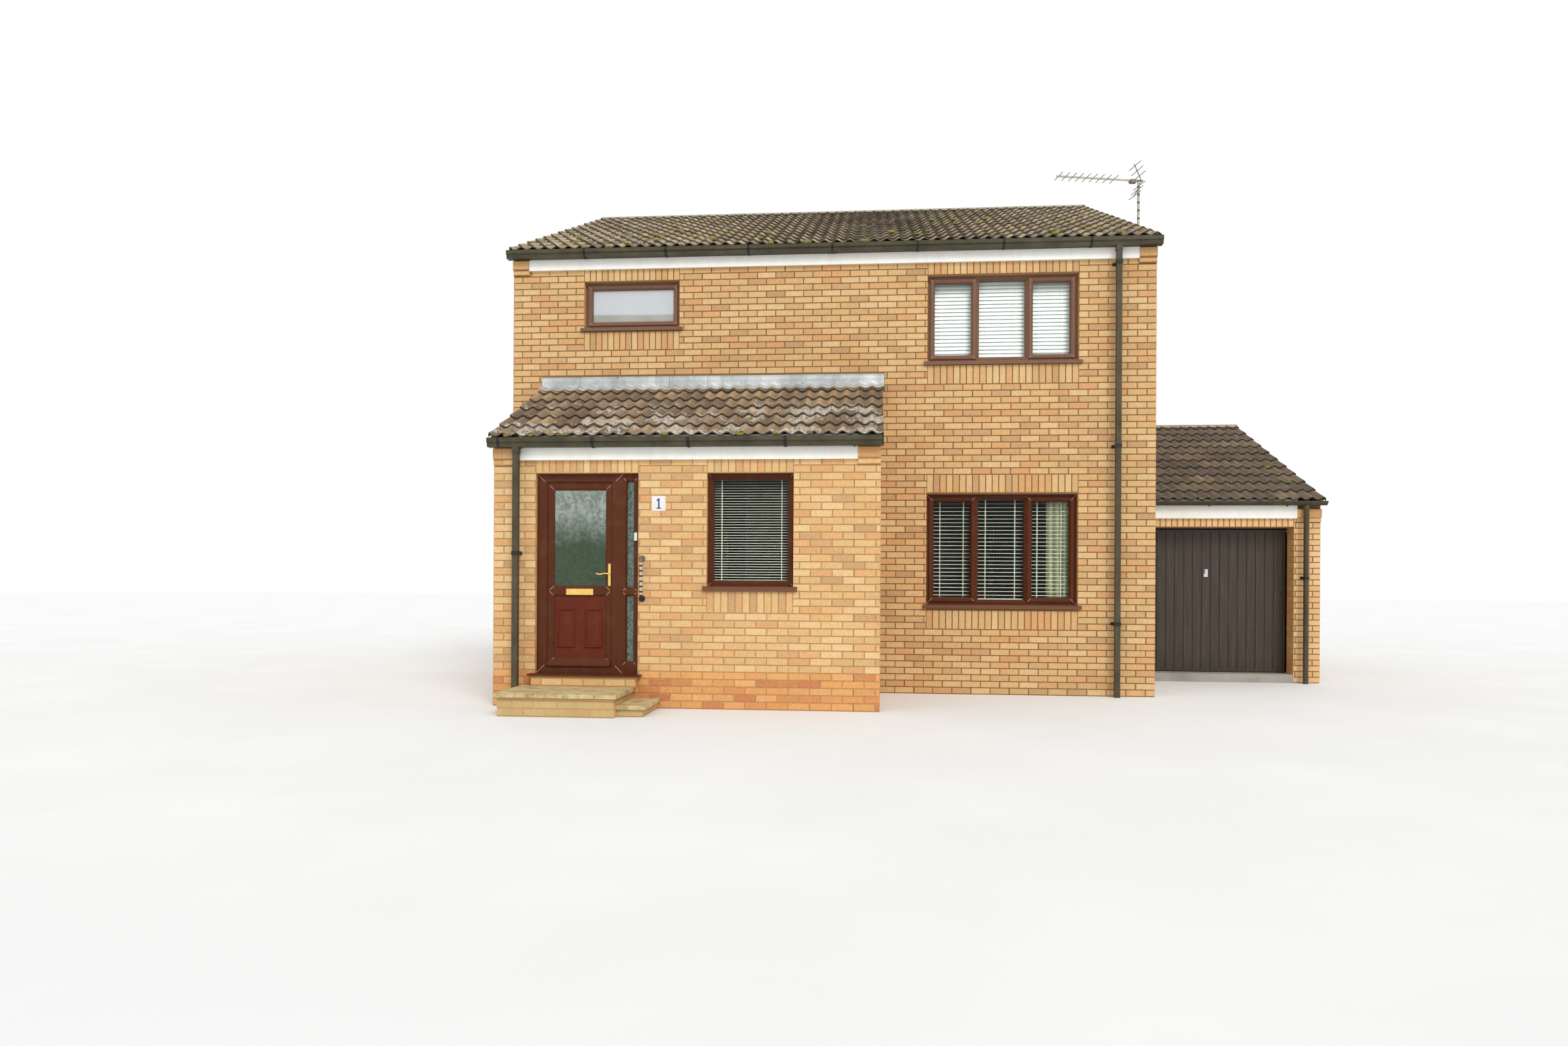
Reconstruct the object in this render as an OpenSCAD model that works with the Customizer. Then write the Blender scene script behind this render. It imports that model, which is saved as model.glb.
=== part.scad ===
/* [Brickwork] */
// Height of one brick course with its bed joint
course_h = 76; // [70:1:80]
// Length of one brick with its upright joint
brick_l = 223; // [215:1:235]
// Thickness of the house's cavity walls
wall_t = 265; // [230:1:320]
// How far each kneeler course oversails the one below
corbel = 22; // [10:1:30]

/* [House] */
// Width of the main block across the front
house_w = 7685; // [7400:5:9000]
// Depth of the main block from front to back
house_d = 8320; // [7800:10:9500]
// Height of the tile edge at the main eaves
house_eaves = 5365; // [5000:5:5700]
// Level of the ground floor
floor_z = 340; // [280:5:380]
// Level of the upper floor
upper_floor_z = 2950; // [2900:10:3050]
// Thickness of the upper floor with its joists
upper_floor_t = 240; // [200:5:280]

/* [Roofs] */
// Pitch of the house and garage roofs in degrees
roof_pitch = 24; // [20:0.5:28]
// Pitch of the porch roof in degrees
porch_pitch = 25; // [20:0.5:27]
// Slope length that each tile course shows
tile_gauge = 346; // [300:1:380]
// Height of the step from one tile course to the next
tile_lap = 25; // [15:1:35]
// Thickness of the eaves tiles where they overhang
tile_t = 10; // [6:1:12]
// Thickness of the roof with tiles, battens and boards
roof_t = 90; // [70:1:120]
// Overhang of the tiles in front of the wall
eaves_over = 100; // [85:1:110]
// Overhang of the tiles at a gable
verge_over = 30; // [15:1:60]
// Radius of the ridge tiles
ridge_r = 110; // [90:1:130]
// Thickness of a ridge tile
ridge_t = 18; // [12:1:22]

/* [Fascias and gutters] */
// Thickness of a fascia board
fascia_t = 40; // [25:1:50]
// Height of a fascia's lower edge under the tile edge
fascia_drop = 262; // [240:1:280]
// Height of a gutter's rim under the tile edge
gutter_drop = 38; // [38:1:50]
// Width of a gutter
gutter_w = 112; // [100:1:125]
// Depth of a square gutter
gutter_h = 96; // [80:1:105]
// Wall thickness of the gutters and downpipes
pipe_t = 4; // [3:0.5:5]
// Width of a square downpipe
pipe_w = 60; // [56:1:68]
// Diameter of the round downpipe
round_pipe_d = 68; // [60:1:75]
// Distance from the house's right corner to the middle of its downpipe
house_pipe_x = 450; // [400:1:500]
// Distance from the porch's left corner to the middle of its downpipe
porch_pipe_x = 273; // [255:1:273]
// Thickness of the clips that hold the gutters
clip_t = 3; // [2:0.5:3.5]
// Width of a gutter clip
clip_w = 30; // [24:1:40]
// Distance between two gutter clips
clip_gap = 1000; // [900:5:1100]
// Distance from the house's left corner to the joint between its two lengths of gutter
gutter_joint_x = 3917; // [3700:1:4100]
// Distance from the porch's left corner to its first gutter clip
porch_clip_x = 1090; // [900:1:1200]

/* [Windows] */
// Depth of the upper windows' heads under the tile edge
upper_head_drop = 402; // [390:1:600]
// Height of the lower window's head
lower_head_z = 2368; // [2300:1:2400]
// Width of the curtain beside the lower window
curtain_w = 316; // [200:1:400]
// Gap between the curtain and the side of the window opening
curtain_gap = 14; // [6:1:30]
// Width of the three-light windows
wide_w = 1760; // [1600:5:1800]
// Height of the upper three-light window with its sill
wide_upper_h = 1070; // [900:5:1150]
// Height of the lower three-light window with its sill
wide_lower_h = 1357; // [1200:5:1400]
// Distance from a three-light window to the nearer corner
wide_gap = 880; // [860:5:1000]
// Width of the single upper window
small_w = 1177; // [1000:1:1200]
// Height of the single upper window with its sill
small_h = 606; // [550:1:700]
// Distance from the single upper window to the left corner
small_gap = 885; // [860:1:950]
// Depth of the reveal in front of a window frame
reveal = 70; // [50:1:90]
// Depth of a window frame from front to back
frame_d = 70; // [60:1:75]
// Width of an outer frame member
frame_w = 46; // [40:1:55]
// Width of a mullion
mullion_w = 34; // [28:1:45]
// Width of an opening sash member
sash_w = 56; // [45:1:60]
// How far an opening sash stands in front of its frame
sash_proud = 16; // [8:1:20]
// Width of the bead round fixed glass
bead_w = 16; // [12:1:24]
// Height of a window sill at its nose
sill_h = 46; // [35:1:55]
// How far a sill stands out from the wall
sill_out = 36; // [25:1:50]
// How far a sill runs past each side of its window
sill_end = 40; // [25:1:50]
// How far the parts of a window reach into one another where they are welded
weld_in = 4; // [1:1:5]
// Thickness of a sealed glass unit
glass_t = 24; // [20:1:28]
// Depth of the curtain's folds
curtain_t = 30; // [20:1:40]
// Depth of the fine groove where two moulded members are joined at a mitre
mitre_cut = 1.5; // [0.5:0.5:3]
// Width of the shaped edge of an opening sash
sash_edge = 26; // [18:1:30]
// Distance between two slats of the blinds in the three-light windows
wide_slat_pitch = 45.5; // [40:0.5:50]
// Distance between two slats of the porch's blind
porch_slat_pitch = 27.5; // [24:0.5:34]
// Tilt of the nearly closed slats of the upper blind in degrees
upper_slat_tilt = 58; // [0:1:60]
// Tilt of the open slats of the other two blinds in degrees
open_slat_tilt = 12; // [0:1:40]

/* [Porch] */
// Distance from the house's left corner to the porch
porch_inset = 427; // [350:1:500]
// Width of the porch
porch_w = 4058; // [3950:1:4200]
// Depth of the porch in front of the house
porch_d = 1720; // [1500:5:1900]
// Height of the tile edge at the porch eaves
porch_eaves = 2843; // [2820:1:2900]
// Height of the door and window heads
porch_head_z = 2445; // [2420:1:2460]
// Width of the porch window
porch_window_w = 900; // [800:5:1000]
// Height of the porch window with its sill
porch_window_h = 1220; // [1000:5:1300]
// Distance from the porch window to the porch's right corner
porch_window_gap = 889; // [800:1:950]
// Height of the lead above the porch tiles
lead_up = 118; // [90:1:150]
// Length of the lead that lies on the tiles
lead_apron = 140; // [100:1:180]
// Thickness of the lead
lead_t = 4; // [3:0.5:6]

/* [Front door] */
// Distance from the porch's left corner to the door frame
door_gap = 452; // [440:1:520]
// Width of the door frame with its side light
door_frame_w = 1095; // [1060:1:1120]
// Height of the threshold under the door frame
threshold_z = 349; // [345:1:360]
// Width of the door frame's outer members
door_jamb_w = 96; // [90:1:100]
// Width of the side light with its members
side_w = 172; // [165:1:185]
// Distance from the porch's face to the door frame
door_frame_y = 50; // [40:1:60]
// Depth of the door frame from front to back
door_frame_d = 82; // [76:1:90]
// Height of the door frame's sill member
door_sill_h = 46; // [40:1:50]
// Height of the door frame's head member
door_head_h = 78; // [70:1:90]
// Width of the members round the side light's glass
side_rail_w = 40; // [36:1:45]
// Height of the middle of the side light's rail
side_mid_z = 1209; // [1150:1:1300]
// Width of the post between the door and the side light
door_post_w = 108; // [100:1:112]
// Thickness of the door leaf
leaf_t = 60; // [50:1:64]
// Running gap round the door leaf
door_clear = 8; // [6:1:10]
// Width of the door leaf's uprights round its glass
leaf_rail_w = 76; // [60:1:90]
// Distance of the upper and lower hinges from the ends of the door leaf
hinge_inset = 220; // [150:5:300]
// Distance from the porch's left corner to the house number plate
number_x = 1689; // [1600:1:1750]
// Height of the number plate's lower edge
number_z = 2051; // [1900:1:2100]
// Width of the number plate
number_w = 148; // [120:1:160]
// Height of the number plate
number_h = 157; // [120:1:170]
// Thickness of the number plate
number_t = 6; // [4:1:8]
// Height of the doorbell's lower edge
bell_z = 1742; // [1500:1:1800]
// Width of the doorbell
bell_w = 32; // [25:1:40]
// Height of the doorbell
bell_h = 86; // [70:1:100]
// Height of the letter plate's middle
letter_z = 1202; // [1190:1:1210]
// Height of the lever handle
lever_z = 1395; // [1350:1:1450]
// Length of the grab rail
rail_l = 486; // [460:1:600]
// Height of its lower end above the ground floor
rail_low = 763; // [700:1:900]
// Number of ribs on the grab rail
rail_bands = 6; // [4:1:6]
// Width of the doorway from the porch into the house
inner_door_w = 850; // [760:10:950]
// Height of the doorway from the porch into the house
inner_door_h = 2050; // [2000:10:2100]

/* [Steps] */
// Height of the upper step
step_z = 222; // [200:1:240]
// Depth of the upper step
step_d = 807; // [700:1:900]
// Width of the upper step
step_w = 1220; // [1150:1:1300]
// Distance from the porch's left corner to the upper step
step_gap = 308; // [300:1:330]
// Height of the side step
side_step_z = 110; // [100:1:120]
// Width of the side step
side_step_w = 260; // [220:1:300]
// Thickness of a paving slab
slab_t = 38; // [32:1:50]
// How far a slab oversails its brickwork
slab_over = 32; // [20:1:40]
// How far the sill course stands out under the door
plinth_out = 105; // [80:1:120]

/* [Garage] */
// Width of the garage beside the house
garage_w = 2660; // [2620:5:2900]
// How far the garage's front stands back from the house's front
garage_setback = 1910; // [1700:5:2100]
// Height of the tile edge at the garage eaves
garage_eaves = 2453; // [2440:1:2550]
// Depth of the garage's front piers
pier_d = 215; // [205:1:230]
// Thickness of the garage's side and rear walls
garage_wall_t = 103; // [100:1:110]
// Width of the left pier
left_pier_w = 209; // [200:1:220]
// Width of the garage opening
garage_open_w = 2112; // [2050:1:2120]
// Height of the garage opening's head
garage_head_z = 2077; // [2060:1:2085]
// Level of the garage floor
garage_floor_z = 110; // [90:1:120]
// Thickness of the garage door panel
panel_t = 40; // [32:1:46]
// Gap between the panel and each side of the opening
panel_side = 10; // [8:1:14]
// Gap under the panel
panel_under = 10; // [8:1:14]
// Gap between the panel's top and the opening's head
panel_over = 22; // [18:1:28]
// Gap between the piers and the face of the panel
panel_behind = 33; // [28:1:40]
// Number of ribs across the panel
rib_count = 17; // [12:1:24]
// Height of the garage door's handle
garage_handle_z = 1461; // [1000:1:1600]
// Depth of a rib
rib_depth = 9; // [5:1:14]
// Width of the groove between two ribs
rib_groove = 20; // [10:1:30]
// Radius of the runner wheels
wheel_r = 20; // [18:1:24]
// Radius of the runner pins
pin_r = 6; // [5:0.5:8]
// Distance that the panel's top travels on the tracks
panel_travel = 1940; // [1900:5:1980]

/* [Aerial] */
// Distance from the front of the house to the mast
mast_y = 1230; // [1000:10:1500]
// Distance from the gable wall to the middle of the mast
mast_out = 105; // [90:1:130]
// Depth of the mast's lower end under the tile edge
mast_low_drop = 515; // [400:5:600]
// Height of the boom over the tile edge
boom_rise = 1125; // [1000:5:1200]
// Height of the lower wall bracket over the mast's lower end
mast_bracket_low = 60; // [40:1:80]
// Distance between the mast's two wall brackets
mast_bracket_gap = 260; // [200:5:300]
// Radius of the mast
mast_r = 16; // [12:1:20]
// Length of the boom
boom_l = 1160; // [1000:10:1300]
// Turn of the boom towards the front in degrees
boom_turn = 12; // [0:1:30]

/* [Hidden] */

$fn = 32;
SEAT = 0.3;

brick_colour = "#c99a5e";
tile_colour = "#6f6557";
porch_tile_colour = "#8a7a68";
dark_tile_colour = "#4a4038";
frame_colour = "#5a2f24";
gutter_colour = "#3b3d37";
white_colour = "#eeeeea";
slab_colour = "#9c9077";
floor_colour = "#a9a49a";
brass_colour = "#c9a34a";
glass_colour = "#9fb3b5";
metal_colour = "#b5b8ba";
door_colour = "#46423a";
black_colour = "#2b2a28";

upper_head_z = house_eaves - upper_head_drop;
garage_d = house_d - garage_setback;
garage_x = house_w;
garage_right = garage_x + garage_w;
porch_right = porch_inset + porch_w;
kneeler_w = brick_l - 20;
garage_kneeler_w = garage_w - left_pier_w - garage_open_w - 30;

// The origin is under the middle of the ground floor, with the front towards -Y.
module site() {
    translate([-house_w / 2, -house_d / 2, 0]) children();
}

// Repeats a front feature on the rear wall, turned half round.
module rear() {
    translate([house_w, house_d, 0]) rotate([0, 0, 180]) children();
}

// Moves a feature drawn on the house's front plane to the porch's front plane.
module at_porch() {
    translate([porch_inset, -porch_d, 0]) children();
}

module at_garage() {
    translate([garage_x, garage_setback, 0]) children();
}

// A profile in depth and height, drawn out from x0 to x1.
module along_x(x0, x1) {
    translate([x0, 0, 0]) rotate([90, 0, 90]) linear_extrude(height = x1 - x0) children();
}

module block(x0, x1, y0, y1, z0, z1) {
    translate([x0, y0, z0]) cube([x1 - x0, y1 - y0, z1 - z0]);
}

// Height of the plane that the tile courses lie on, at depth y behind the wall face.
function base_z(y, eaves, pitch) = eaves - tile_lap + (y + eaves_over) * tan(pitch);

// Height of the underside of the roof, which the wall tops meet.
function under_z(y, eaves, pitch) = base_z(y, eaves, pitch) - roof_t / cos(pitch);

// Height of a fascia's upper edge, just under the eaves tiles.
function fascia_top(eaves, pitch) = base_z(-fascia_t, eaves, pitch) - tile_t;

// How high the tiles stand over that plane at depth y: each course falls back by one step.
function course_at(y, pitch) = (y + eaves_over) / (tile_gauge * cos(pitch));
function tile_rise(y, pitch) = tile_lap * (1 + floor(course_at(y, pitch)) - course_at(y, pitch));

// The highest rise between two depths, where a piece lies on the tiles.
function lift(y0, y1, pitch) =
    floor(course_at(y0, pitch)) < floor(course_at(y1, pitch)) ? tile_lap : tile_rise(y0, pitch);

// The upper edge of a slope from the eaves to the depth top_y, one step for each tile course.
function slope_top(eaves, pitch, top_y) =
    let (run = tile_gauge * cos(pitch), count = ceil((top_y + eaves_over) / run))
    [for (k = [0:count - 1], end = [0, 1])
        let (start = -eaves_over + k * run, y = end == 0 ? start : min(top_y, start + run))
        [y, base_z(y, eaves, pitch) + tile_lap * (1 - (y - start) / run)]];

// The upper edge above the eaves course, which is the first row of tiles.
function body_top(eaves, pitch, top_y) =
    let (top = slope_top(eaves, pitch, top_y)) [for (i = [2:len(top) - 1]) top[i]];

// The lower edge at the wall, with the seat that the eaves course lies on.
function body_foot(eaves, pitch) =
    let (end = tile_gauge * cos(pitch) - eaves_over)
    [[0, under_z(0, eaves, pitch)],
    [0, base_z(0, eaves, pitch) - tile_t - SEAT],
    [end, base_z(end, eaves, pitch) - tile_t - SEAT]];

module slope_profile(eaves, pitch, top_y) {
    polygon(concat(body_top(eaves, pitch, top_y), [[top_y, under_z(top_y, eaves, pitch)]],
        body_foot(eaves, pitch)));
}

// The eaves course runs out over the gutter and butts against the next course.
module eaves_course_profile(eaves, pitch) {
    end = tile_gauge * cos(pitch) - eaves_over - SEAT;
    polygon([[-eaves_over, base_z(-eaves_over, eaves, pitch) - tile_t],
        [-eaves_over, base_z(-eaves_over, eaves, pitch) + tile_lap],
        [end, base_z(end, eaves, pitch) + tile_rise(end, pitch)],
        [end, base_z(end, eaves, pitch) - tile_t]]);
}

// Both slopes of a roof that is as deep as the walls under it.
module two_slope_profile(eaves, pitch, depth) {
    top = body_top(eaves, pitch, depth / 2);
    foot = body_foot(eaves, pitch);
    polygon(concat(top,
        [for (i = [len(top) - 2:-1:0]) [depth - top[i][0], top[i][1]]],
        [for (i = [2:-1:0]) [depth - foot[i][0], foot[i][1]]],
        [[depth / 2, under_z(depth / 2, eaves, pitch)]],
        foot));
}

// A wall along the front whose top follows the roof's underside.
module eaves_wall_profile(t, z0, eaves, pitch) {
    polygon([[0, z0], [t, z0], [t, under_z(t, eaves, pitch)], [0, under_z(0, eaves, pitch)]]);
}

// A gable wall from depth y0 to y1 under a roof whose ridge is at ridge_y.
module gable_profile(y0, y1, eaves, pitch, ridge_y) {
    polygon([[y0, 0], [y1, 0], [y1, under_z(2 * ridge_y - y1, eaves, pitch)],
        [ridge_y, under_z(ridge_y, eaves, pitch)], [y0, under_z(y0, eaves, pitch)]]);
}

// Two brick courses that step out at the foot of a gable and carry the end of the eaves.
module kneeler(x0, x1, eaves, pitch) {
    low = eaves - fascia_drop - 50;
    top = eaves - gutter_drop - gutter_h - 5;
    block(x0, x1, -corbel, wall_t / 4, low, low + course_h - 14);
    block(x0, x1, -2 * corbel, wall_t / 4, low + course_h - 14, top);
}

// Main block
module front_wall_shell() {
    along_x(0, house_w) eaves_wall_profile(wall_t, 0, house_eaves, roof_pitch);
    kneeler(0, kneeler_w, house_eaves, roof_pitch);
    kneeler(house_w - kneeler_w, house_w, house_eaves, roof_pitch);
}

module wall_hole(x0, x1, z0, z1, t = wall_t) {
    block(x0, x1, -100, t + 100, z0, z1);
}

small_x0 = small_gap;
small_x1 = small_gap + small_w;
wide_x0 = house_w - wide_gap - wide_w;
wide_x1 = house_w - wide_gap;
inner_door_x0 = porch_inset + (porch_w - inner_door_w) / 2;

module front_wall() {
    color(brick_colour) site() difference() {
        front_wall_shell();
        wall_hole(small_x0, small_x1, upper_head_z - small_h, upper_head_z);
        wall_hole(wide_x0, wide_x1, upper_head_z - wide_upper_h, upper_head_z);
        wall_hole(wide_x0, wide_x1, lower_head_z - wide_lower_h, lower_head_z);
        wall_hole(inner_door_x0, inner_door_x0 + inner_door_w, floor_z, floor_z + inner_door_h);
    }
}

// The rear repeats the three-light windows near both corners on both storeys.
rear_starts = [wide_gap, house_w - wide_gap - wide_w];

module rear_wall() {
    color(brick_colour) site() rear() difference() {
        front_wall_shell();
        for (x = rear_starts) {
            wall_hole(x, x + wide_w, upper_head_z - wide_upper_h, upper_head_z);
            wall_hole(x, x + wide_w, lower_head_z - wide_lower_h, lower_head_z);
        }
    }
}

module gable_wall(x0) {
    along_x(x0, x0 + wall_t)
        gable_profile(wall_t, house_d - wall_t, house_eaves, roof_pitch, house_d / 2);
}

module left_gable_wall() {
    color(brick_colour) site() gable_wall(0);
}

module right_gable_wall() {
    color(brick_colour) site() gable_wall(house_w - wall_t);
}

module ground_floor() {
    color(floor_colour) site() {
        block(wall_t, house_w - wall_t, wall_t, house_d - wall_t, 0, floor_z);
        block(porch_inset + wall_t, porch_right - wall_t, -porch_d + wall_t, 0, 0, floor_z);
    }
}

module upper_floor() {
    color(floor_colour) site()
        block(wall_t, house_w - wall_t, wall_t, house_d - wall_t,
            upper_floor_z - upper_floor_t, upper_floor_z);
}

module main_slope() {
    along_x(-verge_over, house_w + verge_over) slope_profile(house_eaves, roof_pitch, house_d / 2);
    along_x(-verge_over, house_w + verge_over) eaves_course_profile(house_eaves, roof_pitch);
}

module main_roof_front() {
    color(tile_colour) site() main_slope();
}

module main_roof_rear() {
    color(tile_colour) site() rear() main_slope();
}

// A third-round ridge tile whose two edges rest on the top courses of both slopes.
module ridge_profile(half_depth, pitch) {
    spread = ridge_r * sin(60);
    seat = lift(half_depth - spread, half_depth, pitch) + SEAT;
    translate([0, seat]) difference() {
        translate([0, -ridge_r * cos(60) - spread * tan(pitch)]) difference() {
            circle(ridge_r, $fn = 64);
            circle(ridge_r - ridge_t, $fn = 64);
        }
        polygon([[0, 0], [2 * ridge_r, -2 * ridge_r * tan(pitch)], [2 * ridge_r, -4 * ridge_r],
            [-2 * ridge_r, -4 * ridge_r], [-2 * ridge_r, -2 * ridge_r * tan(pitch)]]);
    }
}

module ridge_run(x0, x1, half_depth, eaves) {
    translate([0, half_depth, base_z(half_depth, eaves, roof_pitch)])
        along_x(x0, x1) ridge_profile(half_depth, roof_pitch);
}

module ridge_tiles() {
    color(tile_colour) site() {
        ridge_run(-verge_over, house_w + verge_over, house_d / 2, house_eaves);
        at_garage() ridge_run(1, garage_w + verge_over, garage_d / 2, garage_eaves);
    }
}

// Fascias
module fascia(x0, x1, eaves, pitch) {
    block(x0, x1, -fascia_t, 0, eaves - fascia_drop, fascia_top(eaves, pitch));
}

module fascia_boards() {
    color(white_colour) site() {
        fascia(kneeler_w, house_w - kneeler_w, house_eaves, roof_pitch);
        rear() fascia(kneeler_w, house_w - kneeler_w, house_eaves, roof_pitch);
        at_porch() fascia(kneeler_w + 75, porch_w - kneeler_w - 28, porch_eaves, porch_pitch);
        at_garage() fascia(0, garage_w - garage_kneeler_w, garage_eaves, roof_pitch);
        rear() translate([-garage_w, 0, 0]) fascia(garage_kneeler_w, garage_w, garage_eaves, roof_pitch);
    }
}

// Gutters and downpipes
// The section of a square gutter, with its front and underside grown outwards for a clip.
module gutter_outline(low, grow = 0) {
    translate([-fascia_t - gutter_w, low]) polygon([
        [-grow, gutter_h], [-grow, gutter_h * 0.55 - grow / 2],
        [gutter_w * 0.14 - grow, gutter_h * 0.4 - grow / 2],
        [gutter_w * 0.2 - grow, -grow], [gutter_w, -grow], [gutter_w, gutter_h]]);
}

// A clip round the gutter with the lug under it. A joint is a wider clip with a lug at both ends.
module gutter_clip(x, w, low) {
    along_x(x - w / 2, x + w / 2) gutter_outline(low, clip_t);
    for (side = w > 2 * clip_w ? [-1, 1] : [0])
        translate([x + side * (w / 2 - 10), -fascia_t - gutter_w * 0.45, low]) block(-8, 8, -14, 14, -12, 1);
}

module square_gutter(x0, x1, eaves, outlet_x, clips, joint_x) {
    top = eaves - gutter_drop;
    low = top - gutter_h;
    collar = pipe_w / 2 + 5 + SEAT;
    difference() {
        union() {
            along_x(x0, x1) gutter_outline(low);
            for (x = clips) gutter_clip(x, clip_w, low);
            gutter_clip(joint_x, 3.6 * clip_w, low);
        }
        // Room for the top of the downpipe
        block(outlet_x - collar, outlet_x + collar, pipe_y - collar, pipe_y + collar, low - 30, low);
        along_x(x0 + pipe_t, x1 - pipe_t) translate([-fascia_t - gutter_w, low]) polygon([
            [pipe_t, gutter_h + 1], [pipe_t, gutter_h * 0.55 + pipe_t / 2],
            [gutter_w * 0.14 + pipe_t, gutter_h * 0.4 + pipe_t / 2], [gutter_w * 0.2 + pipe_t, pipe_t],
            [gutter_w - pipe_t, pipe_t], [gutter_w - pipe_t, gutter_h + 1]]);
        translate([outlet_x, pipe_y, low - 1]) linear_extrude(height = pipe_t + 2)
            square(pipe_w - 2 * pipe_t, center = true);
    }
}

pipe_y = -fascia_t - gutter_w / 2 - 6;
house_clips = concat([kneeler_w + 10],
    [for (i = [-3:3]) if (i != 0) gutter_joint_x + i * clip_gap]);
porch_clips = concat([for (k = [0:2]) porch_clip_x + k * clip_gap], [porch_w - kneeler_w - 28 - clip_w - 5]);

module main_gutter() {
    square_gutter(-verge_over - 20, house_w + verge_over + 10, house_eaves,
        house_w - house_pipe_x, house_clips,
        gutter_joint_x);
}

module main_gutters() {
    color(gutter_colour) site() {
        main_gutter();
        rear() main_gutter();
    }
}

module porch_gutter() {
    color(gutter_colour) site() at_porch()
        square_gutter(-verge_over, porch_w + verge_over, porch_eaves,
            porch_pipe_x, porch_clips, porch_pipe_x);
}

house_brackets = [for (share = [0.158, 0.543, 0.939]) house_eaves * share];
porch_brackets = [porch_eaves * 0.565];

// A square pipe from the gutter down to z0, with wall brackets at the heights in the list.
module square_pipe(x, z0, eaves, brackets) {
    top = eaves - gutter_drop - gutter_h;
    difference() {
        union() {
            block(x - pipe_w / 2, x + pipe_w / 2, pipe_y - pipe_w / 2, pipe_y + pipe_w / 2, z0, top);
            block(x - pipe_w / 2 - 5, x + pipe_w / 2 + 5, pipe_y - pipe_w / 2 - 5, pipe_y + pipe_w / 2 + 5,
                top - 60, top);
            for (z = brackets) {
                block(x - pipe_w / 2 - 5, x + pipe_w / 2 + 5,
                    pipe_y - pipe_w / 2 - 5, pipe_y + pipe_w / 2 + 5,
                    z - 22, z + 22);
                block(x - pipe_w / 2 - 5, x + pipe_w / 2 + 5, pipe_y, 0, z - 12, z + 12);
                block(x - pipe_w / 2 - 26, x + pipe_w / 2 + 5, -8, 0, z - 18, z + 18);
            }
        }
        block(x - pipe_w / 2 + pipe_t, x + pipe_w / 2 - pipe_t, pipe_y - pipe_w / 2 + pipe_t,
            pipe_y + pipe_w / 2 - pipe_t, z0 - 1, top + 1);
    }
}

module square_downpipes() {
    color(gutter_colour) site() {
        square_pipe(house_w - house_pipe_x, 0, house_eaves, house_brackets);
        rear() square_pipe(house_w - house_pipe_x, 0, house_eaves, house_brackets);
        at_porch() square_pipe(porch_pipe_x, 0, porch_eaves, porch_brackets);
    }
}

// Windows
// An oblong solid that grows evenly on all four sides: each step is a depth and the growth there.
// It makes the shaped members that meet at mitres, both their outer edges and the openings between them.
module moulded(x0, x1, z0, z1, steps) {
    most = max([for (s = steps) s[1]]);
    back = [for (i = [len(steps) - 1:-1:0]) steps[i]];
    intersection() {
        along_x(x0 - most, x1 + most) polygon(concat([for (s = steps) [s[0], z0 - s[1]]],
            [for (s = back) [s[0], z1 + s[1]]]));
        translate([0, 0, z0 - most]) linear_extrude(height = z1 - z0 + 2 * most) polygon(concat(
            [for (s = steps) [x0 - s[1], s[0]]], [for (s = back) [x1 + s[1], s[0]]]));
    }
}

// The grooves of four mitres, from the corners of the outline inwards over members of width w.
module mitres(x0, x1, z0, z1, w, y) {
    for (c = [[x0, z0, 45], [x1, z0, 135], [x1, z1, 225], [x0, z1, 315]]) translate([c[0], y, c[1]])
        rotate([0, -c[2], 0]) translate([0, -1, -0.6]) cube([w * sqrt(2), 1 + mitre_cut, 1.2]);
}

// The moulded edge of an opening, from the face at depth y to the glass at depth y_glass.
function edge_steps(y, w, y_glass, y_end) = [[y - 1, w], [y + 2, w], [y + 3, w * 0.72],
    [y + 0.3 * (y_glass - y) + 2, w * 0.34], [y + 0.6 * (y_glass - y), w * 0.14], [y_glass, 0], [y_end, 0]];

// An opening sash, drawn to its outer edges.
module sash(x0, x1, z0, z1) {
    difference() {
        moulded(x0, x1, z0, z1, [[-sash_proud, -4], [4 - sash_proud, 0], [44, 0]]);
        moulded(x0 + sash_w, x1 - sash_w, z0 + sash_w, z1 - sash_w,
            edge_steps(-sash_proud, sash_edge, 24, 45));
        mitres(x0, x1, z0, z1, sash_w, -sash_proud);
    }
}

// The sloped bead round fixed glass.
module bead(x0, x1, z0, z1) {
    difference() {
        block(x0 - weld_in, x1 + weld_in, 14, 62, z0 - weld_in, z1 + weld_in);
        moulded(x0 + bead_w, x1 - bead_w, z0 + bead_w, z1 - bead_w,
            [[13, bead_w - 4], [15, bead_w - 4], [24, 0], [63, 0]]);
        mitres(x0, x1, z0, z1, bead_w, 14);
    }
}

function light_starts(x0, widths) = [for (i = [0:len(widths) - 1])
    x0 + frame_w + i * mullion_w + (i == 0 ? 0 : sum_to(widths, i))];
function sum_to(list, n) = n == 0 ? 0 : list[n - 1] + sum_to(list, n - 1);

// Shares the width between the frame members among lights in the given proportion, in whole millimetres.
function shares(w, parts) = let (clear = w - 2 * frame_w - (len(parts) - 1) * mullion_w)
    [for (p = parts) round(clear * p / sum_to(parts, len(parts)))];

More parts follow.
